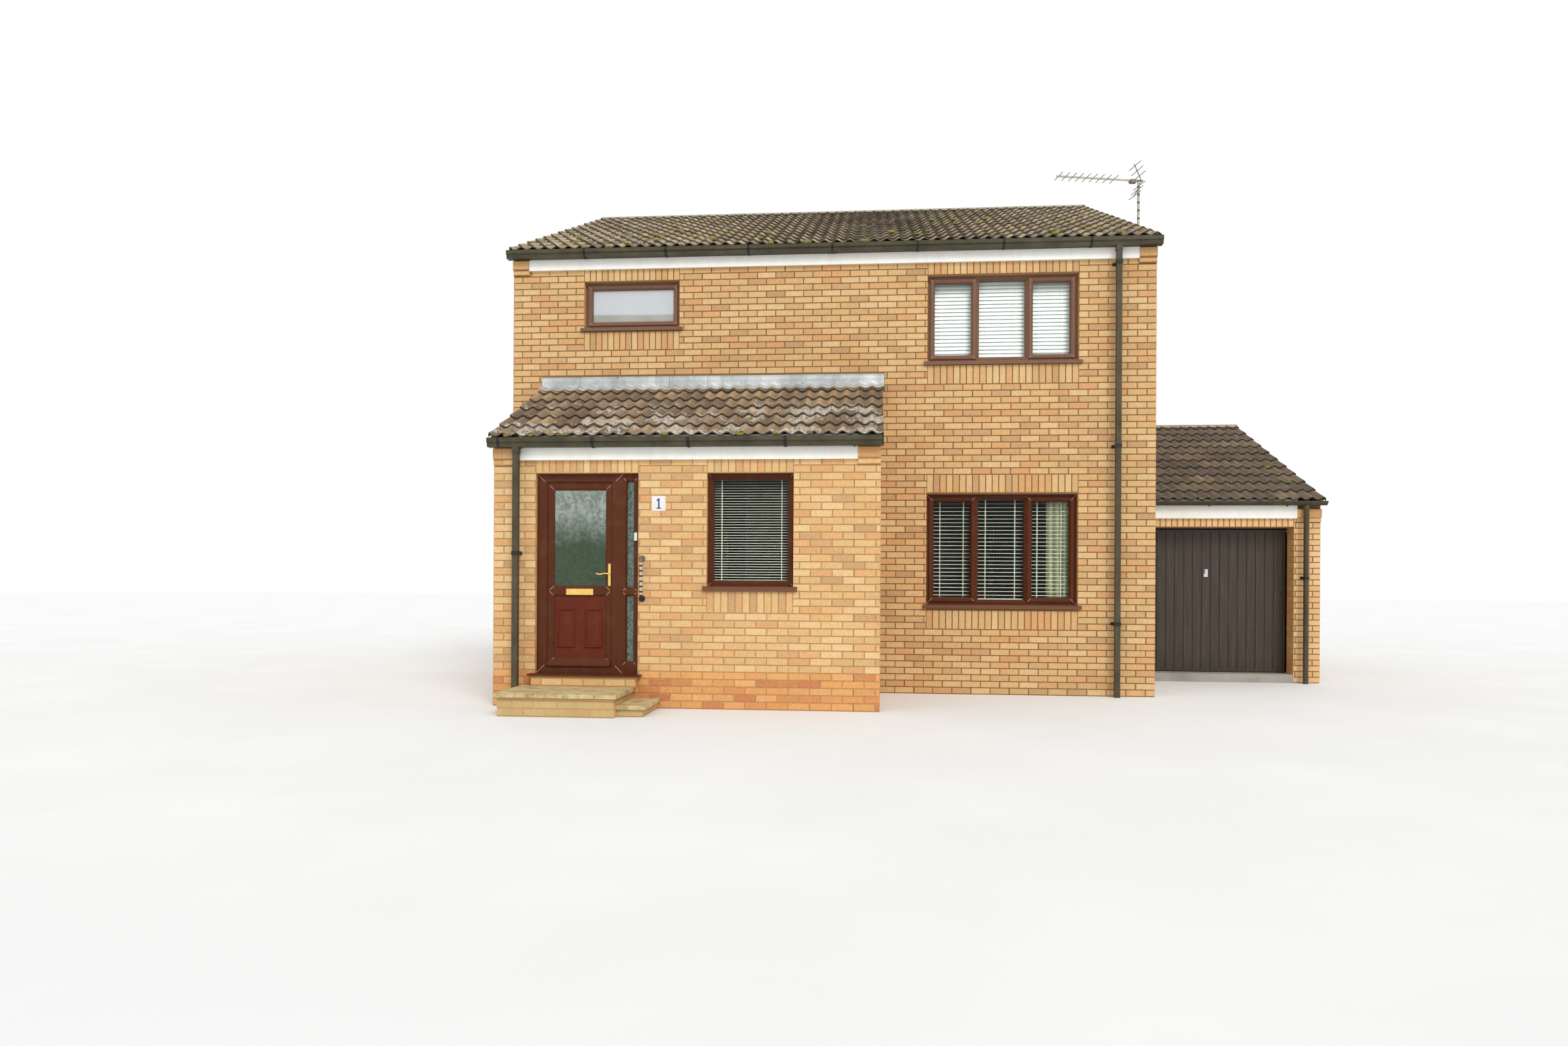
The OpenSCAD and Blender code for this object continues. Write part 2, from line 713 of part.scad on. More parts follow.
// A window with its sill. Each light is 1 for an opening sash or 0 for fixed glass.
module window_frame(x0, w, head, h, parts, opening) {
    widths = shares(w, parts);
    starts = light_starts(x0, widths);
    low = head - h + sill_h;
    translate([0, reveal, 0]) {
        difference() {
            block(x0, x0 + w, 0, frame_d, low - weld_in, head);
            for (i = [0:len(parts) - 1])
                moulded(starts[i], starts[i] + widths[i], low + frame_w, head - frame_w, opening[i] == 1
                    ? [[-1, 0], [frame_d + 1, 0]] : [[-1, 8], [2, 8], [9, 0], [frame_d + 1, 0]]);
            mitres(x0, x0 + w, low, head, frame_w - 9, 0);
        }
        for (i = [0:len(parts) - 1]) {
            if (opening[i] == 1) sash(starts[i] - 12, starts[i] + widths[i] + 12, low + frame_w - 12,
                head - frame_w + 12);
            if (opening[i] == 0) bead(starts[i], starts[i] + widths[i], low + frame_w, head - frame_w);
        }
    }
    along_x(x0 - sill_end, x0 + w + sill_end) polygon([[-sill_out, low - sill_h], [-sill_out, low - 12],
        [-6, low], [-0.01, low], [-0.01, low - sill_h]]);
    block(x0, x0 + w, -weld_in, reveal + frame_d, low - sill_h, low);
}

// The glass of the same window, held in the sashes or the beads.
module window_panes(x0, w, head, h, parts, opening) {
    widths = shares(w, parts);
    starts = light_starts(x0, widths);
    low = head - h + sill_h;
    for (i = [0:len(parts) - 1]) {
        edge = (opening[i] == 1 ? sash_w - 12 : bead_w);
        block(starts[i] + edge, starts[i] + widths[i] - edge, reveal + 24, reveal + 24 + glass_t,
            low + frame_w + edge, head - frame_w - edge);
    }
}

three_parts = [50, 55, 50];
three_open = [1, 0, 1];

module upper_left_window() {
    color(frame_colour) site() window_frame(small_x0, small_w, upper_head_z, small_h, [1], [1]);
}

module upper_right_window() {
    color(frame_colour) site()
        window_frame(wide_x0, wide_w, upper_head_z, wide_upper_h, three_parts, three_open);
}

module lower_right_window() {
    color(frame_colour) site()
        window_frame(wide_x0, wide_w, lower_head_z, wide_lower_h, three_parts, three_open);
}

module rear_windows() {
    color(frame_colour) site() rear() for (x = rear_starts) {
        window_frame(x, wide_w, upper_head_z, wide_upper_h, three_parts, three_open);
        window_frame(x, wide_w, lower_head_z, wide_lower_h, three_parts, three_open);
    }
}

porch_window_x = porch_w - porch_window_gap - porch_window_w;

module porch_window() {
    color(frame_colour) site() at_porch()
        window_frame(porch_window_x, porch_window_w, porch_head_z, porch_window_h, [1], [0]);
}

module window_glass() {
    color(glass_colour) site() {
        window_panes(small_x0, small_w, upper_head_z, small_h, [1], [1]);
        window_panes(wide_x0, wide_w, upper_head_z, wide_upper_h, three_parts, three_open);
        window_panes(wide_x0, wide_w, lower_head_z, wide_lower_h, three_parts, three_open);
        at_porch() window_panes(porch_window_x, porch_window_w, porch_head_z, porch_window_h, [1], [0]);
        at_porch() side_light_panes();
        rear() for (x = rear_starts) {
            window_panes(x, wide_w, upper_head_z, wide_upper_h, three_parts, three_open);
            window_panes(x, wide_w, lower_head_z, wide_lower_h, three_parts, three_open);
        }
    }
}

// Blinds
slat_t = 2.5;
tape_w = 6;
blind_y = reveal + frame_d + 8;

// A slatted blind under its head rail, with its slats joined by two ladder tapes.
module blind(x0, x1, z0, z1, pitch, tilt) {
    slat_w = pitch + 3;
    block(x0, x1, blind_y, blind_y + 50, z1 - 40, z1);
    count = floor((z1 - 62 - z0) / pitch);
    for (i = [0:count]) translate([x0, blind_y + 25, z1 - 62 - i * pitch])
        rotate([tilt, 0, 0]) translate([0, -slat_w / 2, -slat_t / 2]) cube([x1 - x0, slat_w, slat_t]);
    for (x = [x0 + 0.18 * (x1 - x0), x1 - 0.18 * (x1 - x0)])
        block(x - tape_w / 2, x + tape_w / 2, blind_y + 23, blind_y + 27, z1 - 62 - count * pitch, z1 - 39);
}

module window_blinds() {
    color(white_colour) site() {
        blind(wide_x0 + 12, wide_x1 - 12, upper_head_z - wide_upper_h + sill_h + 30, upper_head_z - SEAT,
            wide_slat_pitch, upper_slat_tilt);
        blind(wide_x0 + 12, wide_x1 - 12, lower_head_z - wide_lower_h + sill_h + 30, lower_head_z - SEAT,
            wide_slat_pitch, open_slat_tilt);
        at_porch() blind(porch_window_x + 12, porch_window_x + porch_window_w - 12,
            porch_head_z - porch_window_h + sill_h + 30, porch_head_z - SEAT,
            porch_slat_pitch, open_slat_tilt);
    }
}

// The hanging curtain at the right side of the lower window.
module window_curtain() {
    color(white_colour) site()
        block(wide_x1 - curtain_gap - curtain_w, wide_x1 - curtain_gap, wall_t - 2 * curtain_t,
            wall_t - curtain_t, lower_head_z - wide_lower_h + curtain_t, lower_head_z - SEAT);
}

// Porch
door_x0 = door_gap;
door_x1 = door_gap + door_frame_w;

module porch_side_walls() {
    color(brick_colour) site() at_porch() for (x = [0, porch_w - wall_t]) along_x(x, x + wall_t)
        polygon([[wall_t, 0], [porch_d, 0], [porch_d, under_z(porch_d, porch_eaves, porch_pitch)],
            [wall_t, under_z(wall_t, porch_eaves, porch_pitch)]]);
}

module porch_door_pier() {
    color(brick_colour) site() at_porch() block(0, door_x0, 0, wall_t, 0, porch_head_z);
}

module porch_window_wall() {
    color(brick_colour) site() at_porch() difference() {
        block(door_x0, porch_w, 0, wall_t, 0, porch_head_z);
        block(porch_window_x, porch_window_x + porch_window_w, -1, wall_t + 1, porch_head_z - porch_window_h,
            porch_head_z + 1);
        block(door_x0 - 1, door_x1, -1, wall_t + 1, threshold_z - 18, porch_head_z + 1);
    }
}

// The brickwork over the door and the window, which rests on the walls beside them.
module porch_front_head() {
    color(brick_colour) site() at_porch() {
        along_x(0, porch_w) eaves_wall_profile(wall_t, porch_head_z, porch_eaves, porch_pitch);
        kneeler(0, kneeler_w + 75, porch_eaves, porch_pitch);
        kneeler(porch_w - kneeler_w - 28, porch_w, porch_eaves, porch_pitch);
    }
}

module porch_roof() {
    color(porch_tile_colour) site() at_porch() {
        along_x(-verge_over, porch_w + verge_over) slope_profile(porch_eaves, porch_pitch, porch_d);
        along_x(-verge_over, porch_w + verge_over) eaves_course_profile(porch_eaves, porch_pitch);
    }
}

// Lead dressed up the house wall and down over the top course of tiles.
module porch_flashing() {
    low_y = porch_d - lead_apron;
    fall = lead_apron * tan(porch_pitch);
    top = base_z(porch_d, porch_eaves, porch_pitch) + lift(low_y, porch_d, porch_pitch) + SEAT;
    color(metal_colour) site() at_porch() along_x(-66, porch_w + 53) polygon([
        [porch_d, top], [porch_d, top + lead_up], [porch_d - lead_t, top + lead_up],
        [porch_d - lead_t, top + lead_t], [low_y, top - fall + lead_t], [low_y, top - fall]]);
}

// Front door
leaf_x0 = door_x0 + door_jamb_w + door_clear;
leaf_x1 = door_x1 - side_w - door_post_w - door_clear - 2;
leaf_z0 = threshold_z + door_sill_h + door_clear;
leaf_z1 = porch_head_z - door_head_h - door_clear;
leaf_y0 = door_frame_y + 22;
hinge_x = leaf_x0 - door_clear / 2;
hinge_y = leaf_y0 + leaf_t + 10;
hinge_heights = [leaf_z0 + hinge_inset, (leaf_z0 + leaf_z1) / 2, leaf_z1 - hinge_inset];
side_x0 = door_x1 - side_w;
side_lights = [[threshold_z + 130, side_mid_z - 45], [side_mid_z + 45, porch_head_z - 84]];
side_glass_x0 = side_x0 + side_rail_w;
side_glass_x1 = door_x1 - side_rail_w - 22;

// One butt hinge on the inner face. The frame's part, with the pin, is below and the leaf's part sits on it.
module hinge_half(upper) {
    side = upper ? 0 : -34;
    for (z = hinge_heights) translate([hinge_x, hinge_y, z]) {
        difference() {
            union() {
                translate([0, 0, upper ? SEAT : -45]) cylinder(h = 45 - (upper ? SEAT : 0), r = 8);
                block(side, side + 34, -10, -6, upper ? SEAT : -45, upper ? 45 : 0);
                block(upper ? 0 : -6, upper ? 6 : 0, -8, 0, upper ? SEAT : -45, upper ? 45 : 0);
            }
            if (upper) translate([0, 0, -1]) cylinder(h = 38, r = 4 + SEAT);
        }
        if (!upper) translate([0, 0, -1]) cylinder(h = 36, r = 4);
    }
}

module door_frame() {
    color(frame_colour) site() at_porch() {
        difference() {
            block(door_x0, door_x1, door_frame_y, door_frame_y + door_frame_d, threshold_z, porch_head_z);
            // The doorway, with a stop in front of the leaf's edges
            block(leaf_x0 - door_clear, leaf_x1 + door_clear + 2, leaf_y0 - 6, 200, threshold_z + door_sill_h,
                leaf_z1 + door_clear);
            moulded(leaf_x0 + 4, leaf_x1 - 4, leaf_z0 + 4, leaf_z1 - 4,
                [[door_frame_y - 1, 10], [door_frame_y + 2, 10], [door_frame_y + 9, 0], [200, 0]]);
            // The side light above and below its rail
            for (z = side_lights) {
                moulded(side_glass_x0, side_glass_x1, z[0], z[1],
                    edge_steps(door_frame_y, 18, door_frame_y + 30, 200));
                mitres(side_glass_x0 - side_rail_w, side_glass_x1 + side_rail_w, z[0] - side_rail_w,
                    z[1] + side_rail_w, side_rail_w, door_frame_y);
            }
            mitres(door_x0, side_x0, threshold_z, porch_head_z, door_jamb_w - 14, door_frame_y);
        }
        difference() {
            block(door_x0 - 46, door_x1 + 48, -plinth_out - 22, door_frame_y, threshold_z - 18, threshold_z);
            block(door_x0 - 60, door_x0, 0, 60, 0, threshold_z + 1);
            block(door_x1, door_x1 + 60, 0, 60, 0, threshold_z + 1);
        }
        block(door_x0, door_x1, door_frame_y, door_frame_y + door_frame_d, threshold_z - 18, threshold_z);
        hinge_half(false);
    }
}

module side_light_panes() {
    for (z = side_lights)
        block(side_glass_x0, side_glass_x1, door_frame_y + 30, door_frame_y + 30 + glass_t, z[0], z[1]);
}

leaf_mid_h = 110;
leaf_glass_z0 = letter_z + 67;
leaf_glass_z1 = leaf_z1 - 86;
panel_z0 = leaf_z0 + 209;
panel_z1 = letter_z - 170;

module front_door_leaf() {
    mid = (leaf_x0 + leaf_x1) / 2;
    color(frame_colour) site() at_porch() {
        difference() {
            block(leaf_x0, leaf_x1, leaf_y0, leaf_y0 + leaf_t, leaf_z0, leaf_z1);
            for (z = [[leaf_glass_z0, leaf_glass_z1], [leaf_z0 + 108, leaf_glass_z0 - leaf_mid_h]]) {
                moulded(leaf_x0 + leaf_rail_w, leaf_x1 - leaf_rail_w, z[0], z[1],
                    edge_steps(leaf_y0, 22, leaf_y0 + 18, z[0] == leaf_glass_z0 ? 200 : leaf_y0 + 18.1));
                mitres(leaf_x0 + leaf_rail_w - leaf_mid_h / 2, leaf_x1 - leaf_rail_w + leaf_mid_h / 2,
                    z[0] - leaf_mid_h / 2, z[1] + leaf_mid_h / 2, leaf_mid_h / 2, leaf_y0);
            }
        }
        // The raised mouldings of the two lower panels
        for (side = [-1, 1]) translate([mid + side * 148, 0, 0]) difference() {
            moulded(-97, 97, panel_z0, panel_z1, [[leaf_y0 + 5, -9], [leaf_y0 + 9, -4], [leaf_y0 + 18.2, 0]]);
            moulded(-69, 69, panel_z0 + 28, panel_z1 - 28,
                [[leaf_y0 + 4, 8], [leaf_y0 + 8, 6], [leaf_y0 + 15, 0]]);
        }
        along_x(leaf_x0 + 10, leaf_x1 - 20) polygon([
            [leaf_y0 + 0.1, leaf_z0 + 28], [leaf_y0 - 34, leaf_z0 + 20],
            [leaf_y0 - 34, leaf_z0 + 34], [leaf_y0 + 0.1, leaf_z0 + 86]]);
        hinge_half(true);
    }
}

module front_door_glass() {
    color(glass_colour) site() at_porch()
        block(leaf_x0 + leaf_rail_w, leaf_x1 - leaf_rail_w, leaf_y0 + 18, leaf_y0 + 18 + glass_t,
            leaf_glass_z0, leaf_glass_z1);
}

// A lever dips and rises again from its spindle to its tip.
lever_points = [[6, -36, 0], [-44, -38, 5], [-92, -38, -7], [-134, -34, 3]];

// The letter plate and the lever handles on both faces of the leaf.
module door_fittings() {
    mid = (leaf_x0 + leaf_x1) / 2;
    handle_x = leaf_x1 - 30;
    color(brass_colour) site() at_porch() {
        moulded(mid - 146, mid + 146, letter_z - 33, letter_z + 34,
            [[leaf_y0 - 8, -4], [leaf_y0 - 5, 0], [leaf_y0, 0]]);
        moulded(mid - 118, mid + 118, letter_z - 20, letter_z + 20, [[leaf_y0 - 10, -2], [leaf_y0 - 7, 0]]);
        for (face = [0, 1]) translate([0, face == 0 ? leaf_y0 : leaf_y0 + leaf_t, 0])
            mirror([0, face, 0]) {
                moulded(handle_x - 16, handle_x + 16, lever_z - 130, lever_z + 108,
                    [[-8, -3], [-5, 0], [0, 0]]);
                translate([handle_x, 0, lever_z]) rotate([90, 0, 0]) cylinder(h = 42, r = 9);
                for (k = [0:2]) rod(lever_points[k] + [handle_x, 0, lever_z],
                    lever_points[k + 1] + [handle_x, 0, lever_z], 8);
            }
    }
}

module house_number_plate() {
    color(white_colour) site() at_porch()
        moulded(number_x, number_x + number_w, number_z, number_z + number_h,
            [[-number_t, -3], [-number_t / 2, 0], [0, 0]]);
}

module doorbell() {
    color(white_colour) site() at_porch() translate([door_x1 - bell_w / 2 - 20, door_frame_y, bell_z]) {
        moulded(-bell_w / 2, bell_w / 2, 0, bell_h, [[-bell_w / 2, -4], [4 - bell_w / 2, 0], [0, 0]]);
        translate([0, 0, bell_h / 2]) rotate([90, 0, 0]) cylinder(h = bell_w / 2 + 3, r = bell_w / 4);
    }
}

// A ribbed grab rail that stands off the wall on two end flanges.
rail_x = door_x1 + 45;
rail_z0 = floor_z + rail_low;
rail_z1 = rail_z0 + rail_l;

rail_r = 15;
rail_flange = 34;
rail_bend = 46;
rail_out = 60;
rail_band_pitch = 54;

module grab_rail() {
    low = rail_z0 + rail_flange + rail_bend;
    high = rail_z1 - rail_flange - rail_bend;
    color(black_colour) site() at_porch() translate([rail_x, 0, 0]) {
        for (z = [rail_z0 + rail_flange, rail_z1 - rail_flange]) translate([0, 0, z]) rotate([90, 0, 0]) {
            cylinder(h = 8, r = rail_flange);
            cylinder(h = 16, r = rail_r + 5);
            cylinder(h = rail_out - rail_bend + 0.5, r = rail_r - 1);
        }
        for (end = [[low, 180], [high, 90]]) translate([0, rail_bend - rail_out, end[0]])
            rotate([90, 0, 90]) rotate([0, 0, end[1]]) rotate_extrude(angle = 90) translate([rail_bend, 0])
                circle(rail_r);
        translate([0, -rail_out, low - 0.5]) cylinder(h = high - low + 1, r = rail_r - 1);
        for (i = [0:rail_bands - 1])
            translate([0, -rail_out, (low + high) / 2 + (i - (rail_bands - 1) / 2) * rail_band_pitch - 7])
                cylinder(h = 14, r = rail_r + 4);
    }
}

// Steps
step_x0 = step_gap;
step_x1 = step_gap + step_w;
side_step_x1 = step_x1 - slab_over + side_step_w;

module step_slabs() {
    color(slab_colour) site() at_porch() {
        block(step_x0, step_x1, -step_d, 0, step_z - slab_t, step_z);
        block(step_x1 - slab_over, side_step_x1 + slab_over, -step_d + 110, 0,
            side_step_z - slab_t, side_step_z);
    }
}

module step_brickwork() {
    color(brick_colour) site() at_porch() {
        block(step_x0 + slab_over, step_x1 - slab_over, -step_d + slab_over, 0, 0, step_z - slab_t);
        block(step_x1 - slab_over - 1, side_step_x1, -step_d + 110 + slab_over, 0, 0, side_step_z - slab_t);
        block(door_x0 - 8, door_x1, -plinth_out, 0, step_z, threshold_z - 18);
    }
}

// Garage
module garage_piers() {
    color(brick_colour) site() at_garage() {
        block(0, left_pier_w, 0, pier_d, 0, garage_head_z);
        block(left_pier_w + garage_open_w, garage_w, 0, pier_d, 0, garage_head_z);
    }
}

// The brickwork over the garage door, which rests on both piers.
module garage_front_head() {
    color(brick_colour) site() at_garage() {
        along_x(0, garage_w) eaves_wall_profile(pier_d, garage_head_z, garage_eaves, roof_pitch);
        kneeler(garage_w - garage_kneeler_w, garage_w, garage_eaves, roof_pitch);
    }
}

module garage_side_wall() {
    color(brick_colour) site() at_garage() along_x(garage_w - garage_wall_t, garage_w)
        gable_profile(pier_d, garage_d - garage_wall_t, garage_eaves, roof_pitch, garage_d / 2);
}

module garage_rear_wall() {
    color(brick_colour) site() rear() translate([-garage_w, 0, 0]) {
        along_x(0, garage_w) eaves_wall_profile(garage_wall_t, 0, garage_eaves, roof_pitch);
        kneeler(0, garage_kneeler_w, garage_eaves, roof_pitch);
    }
}

module garage_floor() {
    color(floor_colour) site() at_garage() {
        block(0, garage_w - garage_wall_t, pier_d, garage_d - garage_wall_t, 0, garage_floor_z);
        block(left_pier_w, left_pier_w + garage_open_w, 0, pier_d + 1, 0, garage_floor_z);
    }
}

module garage_roof() {
    color(dark_tile_colour) site() at_garage() {
        along_x(0, garage_w + verge_over) two_slope_profile(garage_eaves, roof_pitch, garage_d);
        along_x(0, garage_w + verge_over) eaves_course_profile(garage_eaves, roof_pitch);
        translate([0, garage_d, 0]) mirror([0, 1, 0]) along_x(0, garage_w + verge_over)
            eaves_course_profile(garage_eaves, roof_pitch);
    }
}

// The lower half of a round section, kept clear of the fascia behind it.
module half_round(r, reach) {
    intersection() {
        circle(reach);
        translate([-reach, -reach]) square([reach + r, reach]);
    }
}

// A half-round gutter with its ends closed, its clips, and a spigot that goes down into the pipe.
module round_gutter(x0, x1, eaves, clips, outlets) {
    r = gutter_w / 2;
    spigot_r = round_pipe_d / 2 - pipe_t - SEAT;
    translate([0, -fascia_t - r, eaves - gutter_drop]) difference() {
        union() {
            along_x(x0, x1) half_round(r, r);
            for (x = clips) {
                along_x(x - clip_w / 2, x + clip_w / 2) half_round(r, r + clip_t);
                block(x - 8, x + 8, -14, 14, -r - 12, -r + 2);
            }
            for (x = outlets) translate([x, 0, -r - 42]) cylinder(h = r + 20, r = spigot_r);
        }
        along_x(x0 + pipe_t, x1 - pipe_t) intersection() {
            circle(r - pipe_t);
            translate([-r, -r]) square([2 * r, r + 1]);
        }
        for (x = outlets) translate([x, 0, -r - 43]) cylinder(h = r + 20, r = spigot_r - pipe_t);
    }
}

garage_pipe_x = garage_w - 218;
garage_clips = [for (x = [clip_gap / 5:clip_gap:garage_pipe_x - 60]) x];

module garage_gutters() {
    color(gutter_colour) site() {
        at_garage() round_gutter(1, garage_w + verge_over + 8, garage_eaves, garage_clips, [garage_pipe_x]);
        rear() translate([-garage_w, 0, 0]) round_gutter(-verge_over - 8, garage_w - 1, garage_eaves,
            [for (x = garage_clips) garage_w - x], []);
    }
}

garage_pipe_bracket_z = 1400;

module garage_downpipe() {
    r = round_pipe_d / 2;
    top = garage_eaves - gutter_drop - gutter_w / 2;
    color(gutter_colour) site() at_garage() translate([garage_pipe_x, -fascia_t - gutter_w / 2, 0])
        difference() {
            union() {
                cylinder(h = top - 3, r = r);
                translate([0, 0, top - 60]) cylinder(h = 57, r = r + 5);
                translate([0, 0, garage_pipe_bracket_z - 15]) cylinder(h = 30, r = r + 5);
                block(-12, 12, 0, fascia_t + gutter_w / 2,
                    garage_pipe_bracket_z - 12, garage_pipe_bracket_z + 12);
                block(-40, 20, fascia_t + gutter_w / 2 - 8, fascia_t + gutter_w / 2,
                    garage_pipe_bracket_z - 18,
                    garage_pipe_bracket_z + 18);
            }
            translate([0, 0, -1]) cylinder(h = top, r = r - pipe_t);
        }
}

// Garage door
panel_x0 = left_pier_w + panel_side;
panel_x1 = left_pier_w + garage_open_w - panel_side;
panel_y0 = pier_d + panel_behind;
panel_z_low = garage_floor_z + panel_under;
panel_z_top = garage_head_z - panel_over;
pivot_y = panel_y0 + panel_t / 2;
pivot_z = panel_z_top - 20;
panel_rim = 48;
wheel_gap = 19;
wheel_t = 18;
track_t = 3;
pin_in = 30;

module garage_door_panel() {
    rib_pitch = (panel_x1 - panel_x0 - 2 * panel_rim + rib_groove) / rib_count;
    color(door_colour) site() at_garage() difference() {
        block(panel_x0, panel_x1, panel_y0, panel_y0 + panel_t, panel_z_low, panel_z_top);
        for (i = [0:rib_count]) translate([panel_x0 + panel_rim - rib_groove + i * rib_pitch, 0, 0])
            block(0, rib_groove, panel_y0 - 1, panel_y0 + rib_depth, panel_z_low + 40, panel_z_top - 40);
        for (x = [panel_x0 - 1, panel_x1 - pin_in]) translate([x, pivot_y, pivot_z])
            rotate([0, 90, 0]) cylinder(h = pin_in + 1, r = pin_r + SEAT);
    }
}

// One pin and wheel, drawn for the right edge of the panel.
module roller() {
    translate([1 - pin_in, 0, 0]) rotate([0, 90, 0])
        cylinder(h = pin_in - 1 + wheel_gap + wheel_t, r = pin_r);
    translate([wheel_gap, 0, 0]) rotate([0, 90, 0]) cylinder(h = wheel_t, r = wheel_r);
}

module garage_door_rollers() {
    color(metal_colour) site() at_garage() {
        translate([panel_x1, pivot_y, pivot_z]) roller();
        translate([panel_x0, pivot_y, pivot_z]) mirror([1, 0, 0]) roller();
    }
}

// One track, drawn for the right side, with the post and the hanger that carry it.
track_w = wheel_gap + wheel_t + 5 - 13;
track_end = pivot_y + panel_travel + 60;

module track_and_post() {
    x0 = 13;
    x1 = x0 + track_w;
    low = pivot_z - wheel_r - SEAT;
    high = pivot_z + wheel_r + SEAT;
    block(x0, x1 + track_t, pivot_y - 45, track_end, low - track_t, low);
    block(x0, x1 + track_t, pivot_y - 45, track_end, high, high + track_t);
    block(x1, x1 + track_t, pivot_y - 45, track_end, low - track_t, high + track_t);
    block(x1, x1 + 60, pier_d, pier_d + 75, garage_floor_z, high + track_t);
    block(x1, x1 + track_t, track_end - 40, track_end, low,
        under_z(track_end - 40, garage_eaves, roof_pitch));
}

module garage_door_frame() {
    color(black_colour) site() at_garage() {
        translate([panel_x1, 0, 0]) track_and_post();
        translate([panel_x0, 0, 0]) mirror([1, 0, 0]) track_and_post();
        block(panel_x0 - 13 - track_w + 2, panel_x1 + 13 + track_w - 2, pier_d, pier_d + 75,
            garage_head_z - 12, garage_head_z + 70);
    }
}

module garage_door_handle() {
    x = (panel_x0 + panel_x1) / 2;
    color(metal_colour) site() at_garage() translate([x, panel_y0, garage_handle_z]) {
        block(-26, 26, -6, 0, -52, 52);
        rotate([90, 0, 0]) cylinder(h = 34, r = 11);
        translate([-16, -40, -12]) cube([32, 10, 60]);
    }
}

// Aerial
module rod(a, b, r) {
    d = b - a;
    l = norm(d);
    translate(a) rotate([0, acos(d[2] / l), atan2(d[1], d[0])]) cylinder(h = l, r = r, $fn = 8);
}

director_count = 9;
mast_low_z = house_eaves - mast_low_drop;
boom_z = house_eaves + boom_rise;

module aerial() {
    color(metal_colour) site() translate([house_w, mast_y, 0]) {
        translate([mast_out, 0, mast_low_z]) cylinder(h = boom_z - mast_low_z, r = mast_r);
        for (z = [mast_low_z + mast_bracket_low, mast_low_z + mast_bracket_low + mast_bracket_gap]) {
            block(0, 6, -60, 60, z - 30, z + 30);
            block(0, mast_out, -12, 12, z - 12, z + 12);
        }
        translate([mast_out, 0, boom_z]) rotate([0, 0, boom_turn]) {
            block(-boom_l + 60, 60, -9, 9, -9, 9);
            block(-120, -40, -30, 30, -34, 6);
            for (i = [0:director_count - 1]) {
                x = -boom_l + 90 + i * 92;
                rod([x, -130, 0], [x, 130, 0], 4);
            }
            for (side = [-1, 1]) {
                rod([40, 0, 0], [-60, 0, side * 210], 5);
                for (k = [1:3]) rod([40 - k * 30, -160, side * k * 63], [40 - k * 30, 160, side * k * 63], 4);
            }
        }
    }
}

front_wall();
rear_wall();
left_gable_wall();
right_gable_wall();
ground_floor();
upper_floor();
main_roof_front();
main_roof_rear();
ridge_tiles();
fascia_boards();
main_gutters();
square_downpipes();
upper_left_window();
upper_right_window();
lower_right_window();
rear_windows();
window_glass();
window_blinds();
window_curtain();
porch_side_walls();
porch_door_pier();
porch_window_wall();
porch_front_head();
porch_roof();
porch_flashing();
porch_gutter();
porch_window();
door_frame();
front_door_leaf();
front_door_glass();
door_fittings();
house_number_plate();
doorbell();
grab_rail();
step_brickwork();
step_slabs();
garage_piers();
garage_front_head();
garage_side_wall();
garage_rear_wall();
garage_floor();
garage_roof();
garage_gutters();
garage_downpipe();
garage_door_frame();
garage_door_panel();
garage_door_rollers();
garage_door_handle();
aerial();
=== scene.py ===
import math
import random

import bmesh
import bpy
from mathutils import Matrix, Vector


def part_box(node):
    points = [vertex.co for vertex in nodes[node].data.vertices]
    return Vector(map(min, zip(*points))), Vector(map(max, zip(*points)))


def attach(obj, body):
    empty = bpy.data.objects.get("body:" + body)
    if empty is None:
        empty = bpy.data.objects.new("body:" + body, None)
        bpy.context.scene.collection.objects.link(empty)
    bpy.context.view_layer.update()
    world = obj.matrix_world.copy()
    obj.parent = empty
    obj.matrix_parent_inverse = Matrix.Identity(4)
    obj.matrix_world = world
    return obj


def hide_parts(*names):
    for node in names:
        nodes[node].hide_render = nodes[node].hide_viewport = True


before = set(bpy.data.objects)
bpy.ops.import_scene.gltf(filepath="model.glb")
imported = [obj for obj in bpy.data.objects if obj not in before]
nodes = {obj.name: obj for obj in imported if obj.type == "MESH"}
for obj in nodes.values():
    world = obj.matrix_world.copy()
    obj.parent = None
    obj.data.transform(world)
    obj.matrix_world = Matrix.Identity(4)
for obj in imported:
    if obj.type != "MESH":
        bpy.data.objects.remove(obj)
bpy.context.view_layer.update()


# Sizes of the house, as in the part's source, in metres
HOUSE_W = 7.685
HOUSE_D = 8.320
HALF_W = HOUSE_W / 2
HALF_D = HOUSE_D / 2
EAVES = 5.365
PORCH_EAVES = 2.843
GARAGE_EAVES = 2.453
ROOF_PITCH = math.radians(24)
PORCH_PITCH = math.radians(25)
ROOF = (EAVES, ROOF_PITCH)
PORCH_ROOF = (PORCH_EAVES, PORCH_PITCH)
GARAGE_ROOF = (GARAGE_EAVES, ROOF_PITCH)
PORCH_X = 0.427
PORCH_W = 4.058
PORCH_D = 1.720
GARAGE_X = 7.685
GARAGE_W = 2.660
GARAGE_Y = 1.910
GARAGE_D = HOUSE_D - GARAGE_Y
WALL_T = 0.265
PIER_D = 0.215
GARAGE_WALL_T = 0.103
TILE_GAUGE = 0.346
TILE_LAP = 0.025
ROOF_T = 0.090
EAVES_OVER = 0.100
VERGE_OVER = 0.030
RIDGE_R = 0.110
RIDGE_PITCH = 0.45
FASCIA_DROP = 0.262
GUTTER_DROP = 0.038
GUTTER_H = 0.096
KNEELER_FOOT = 0.050
KNEELER_DROP = FASCIA_DROP + KNEELER_FOOT
KNEELER_W = 0.203
KNEELER_STEP = 0.022
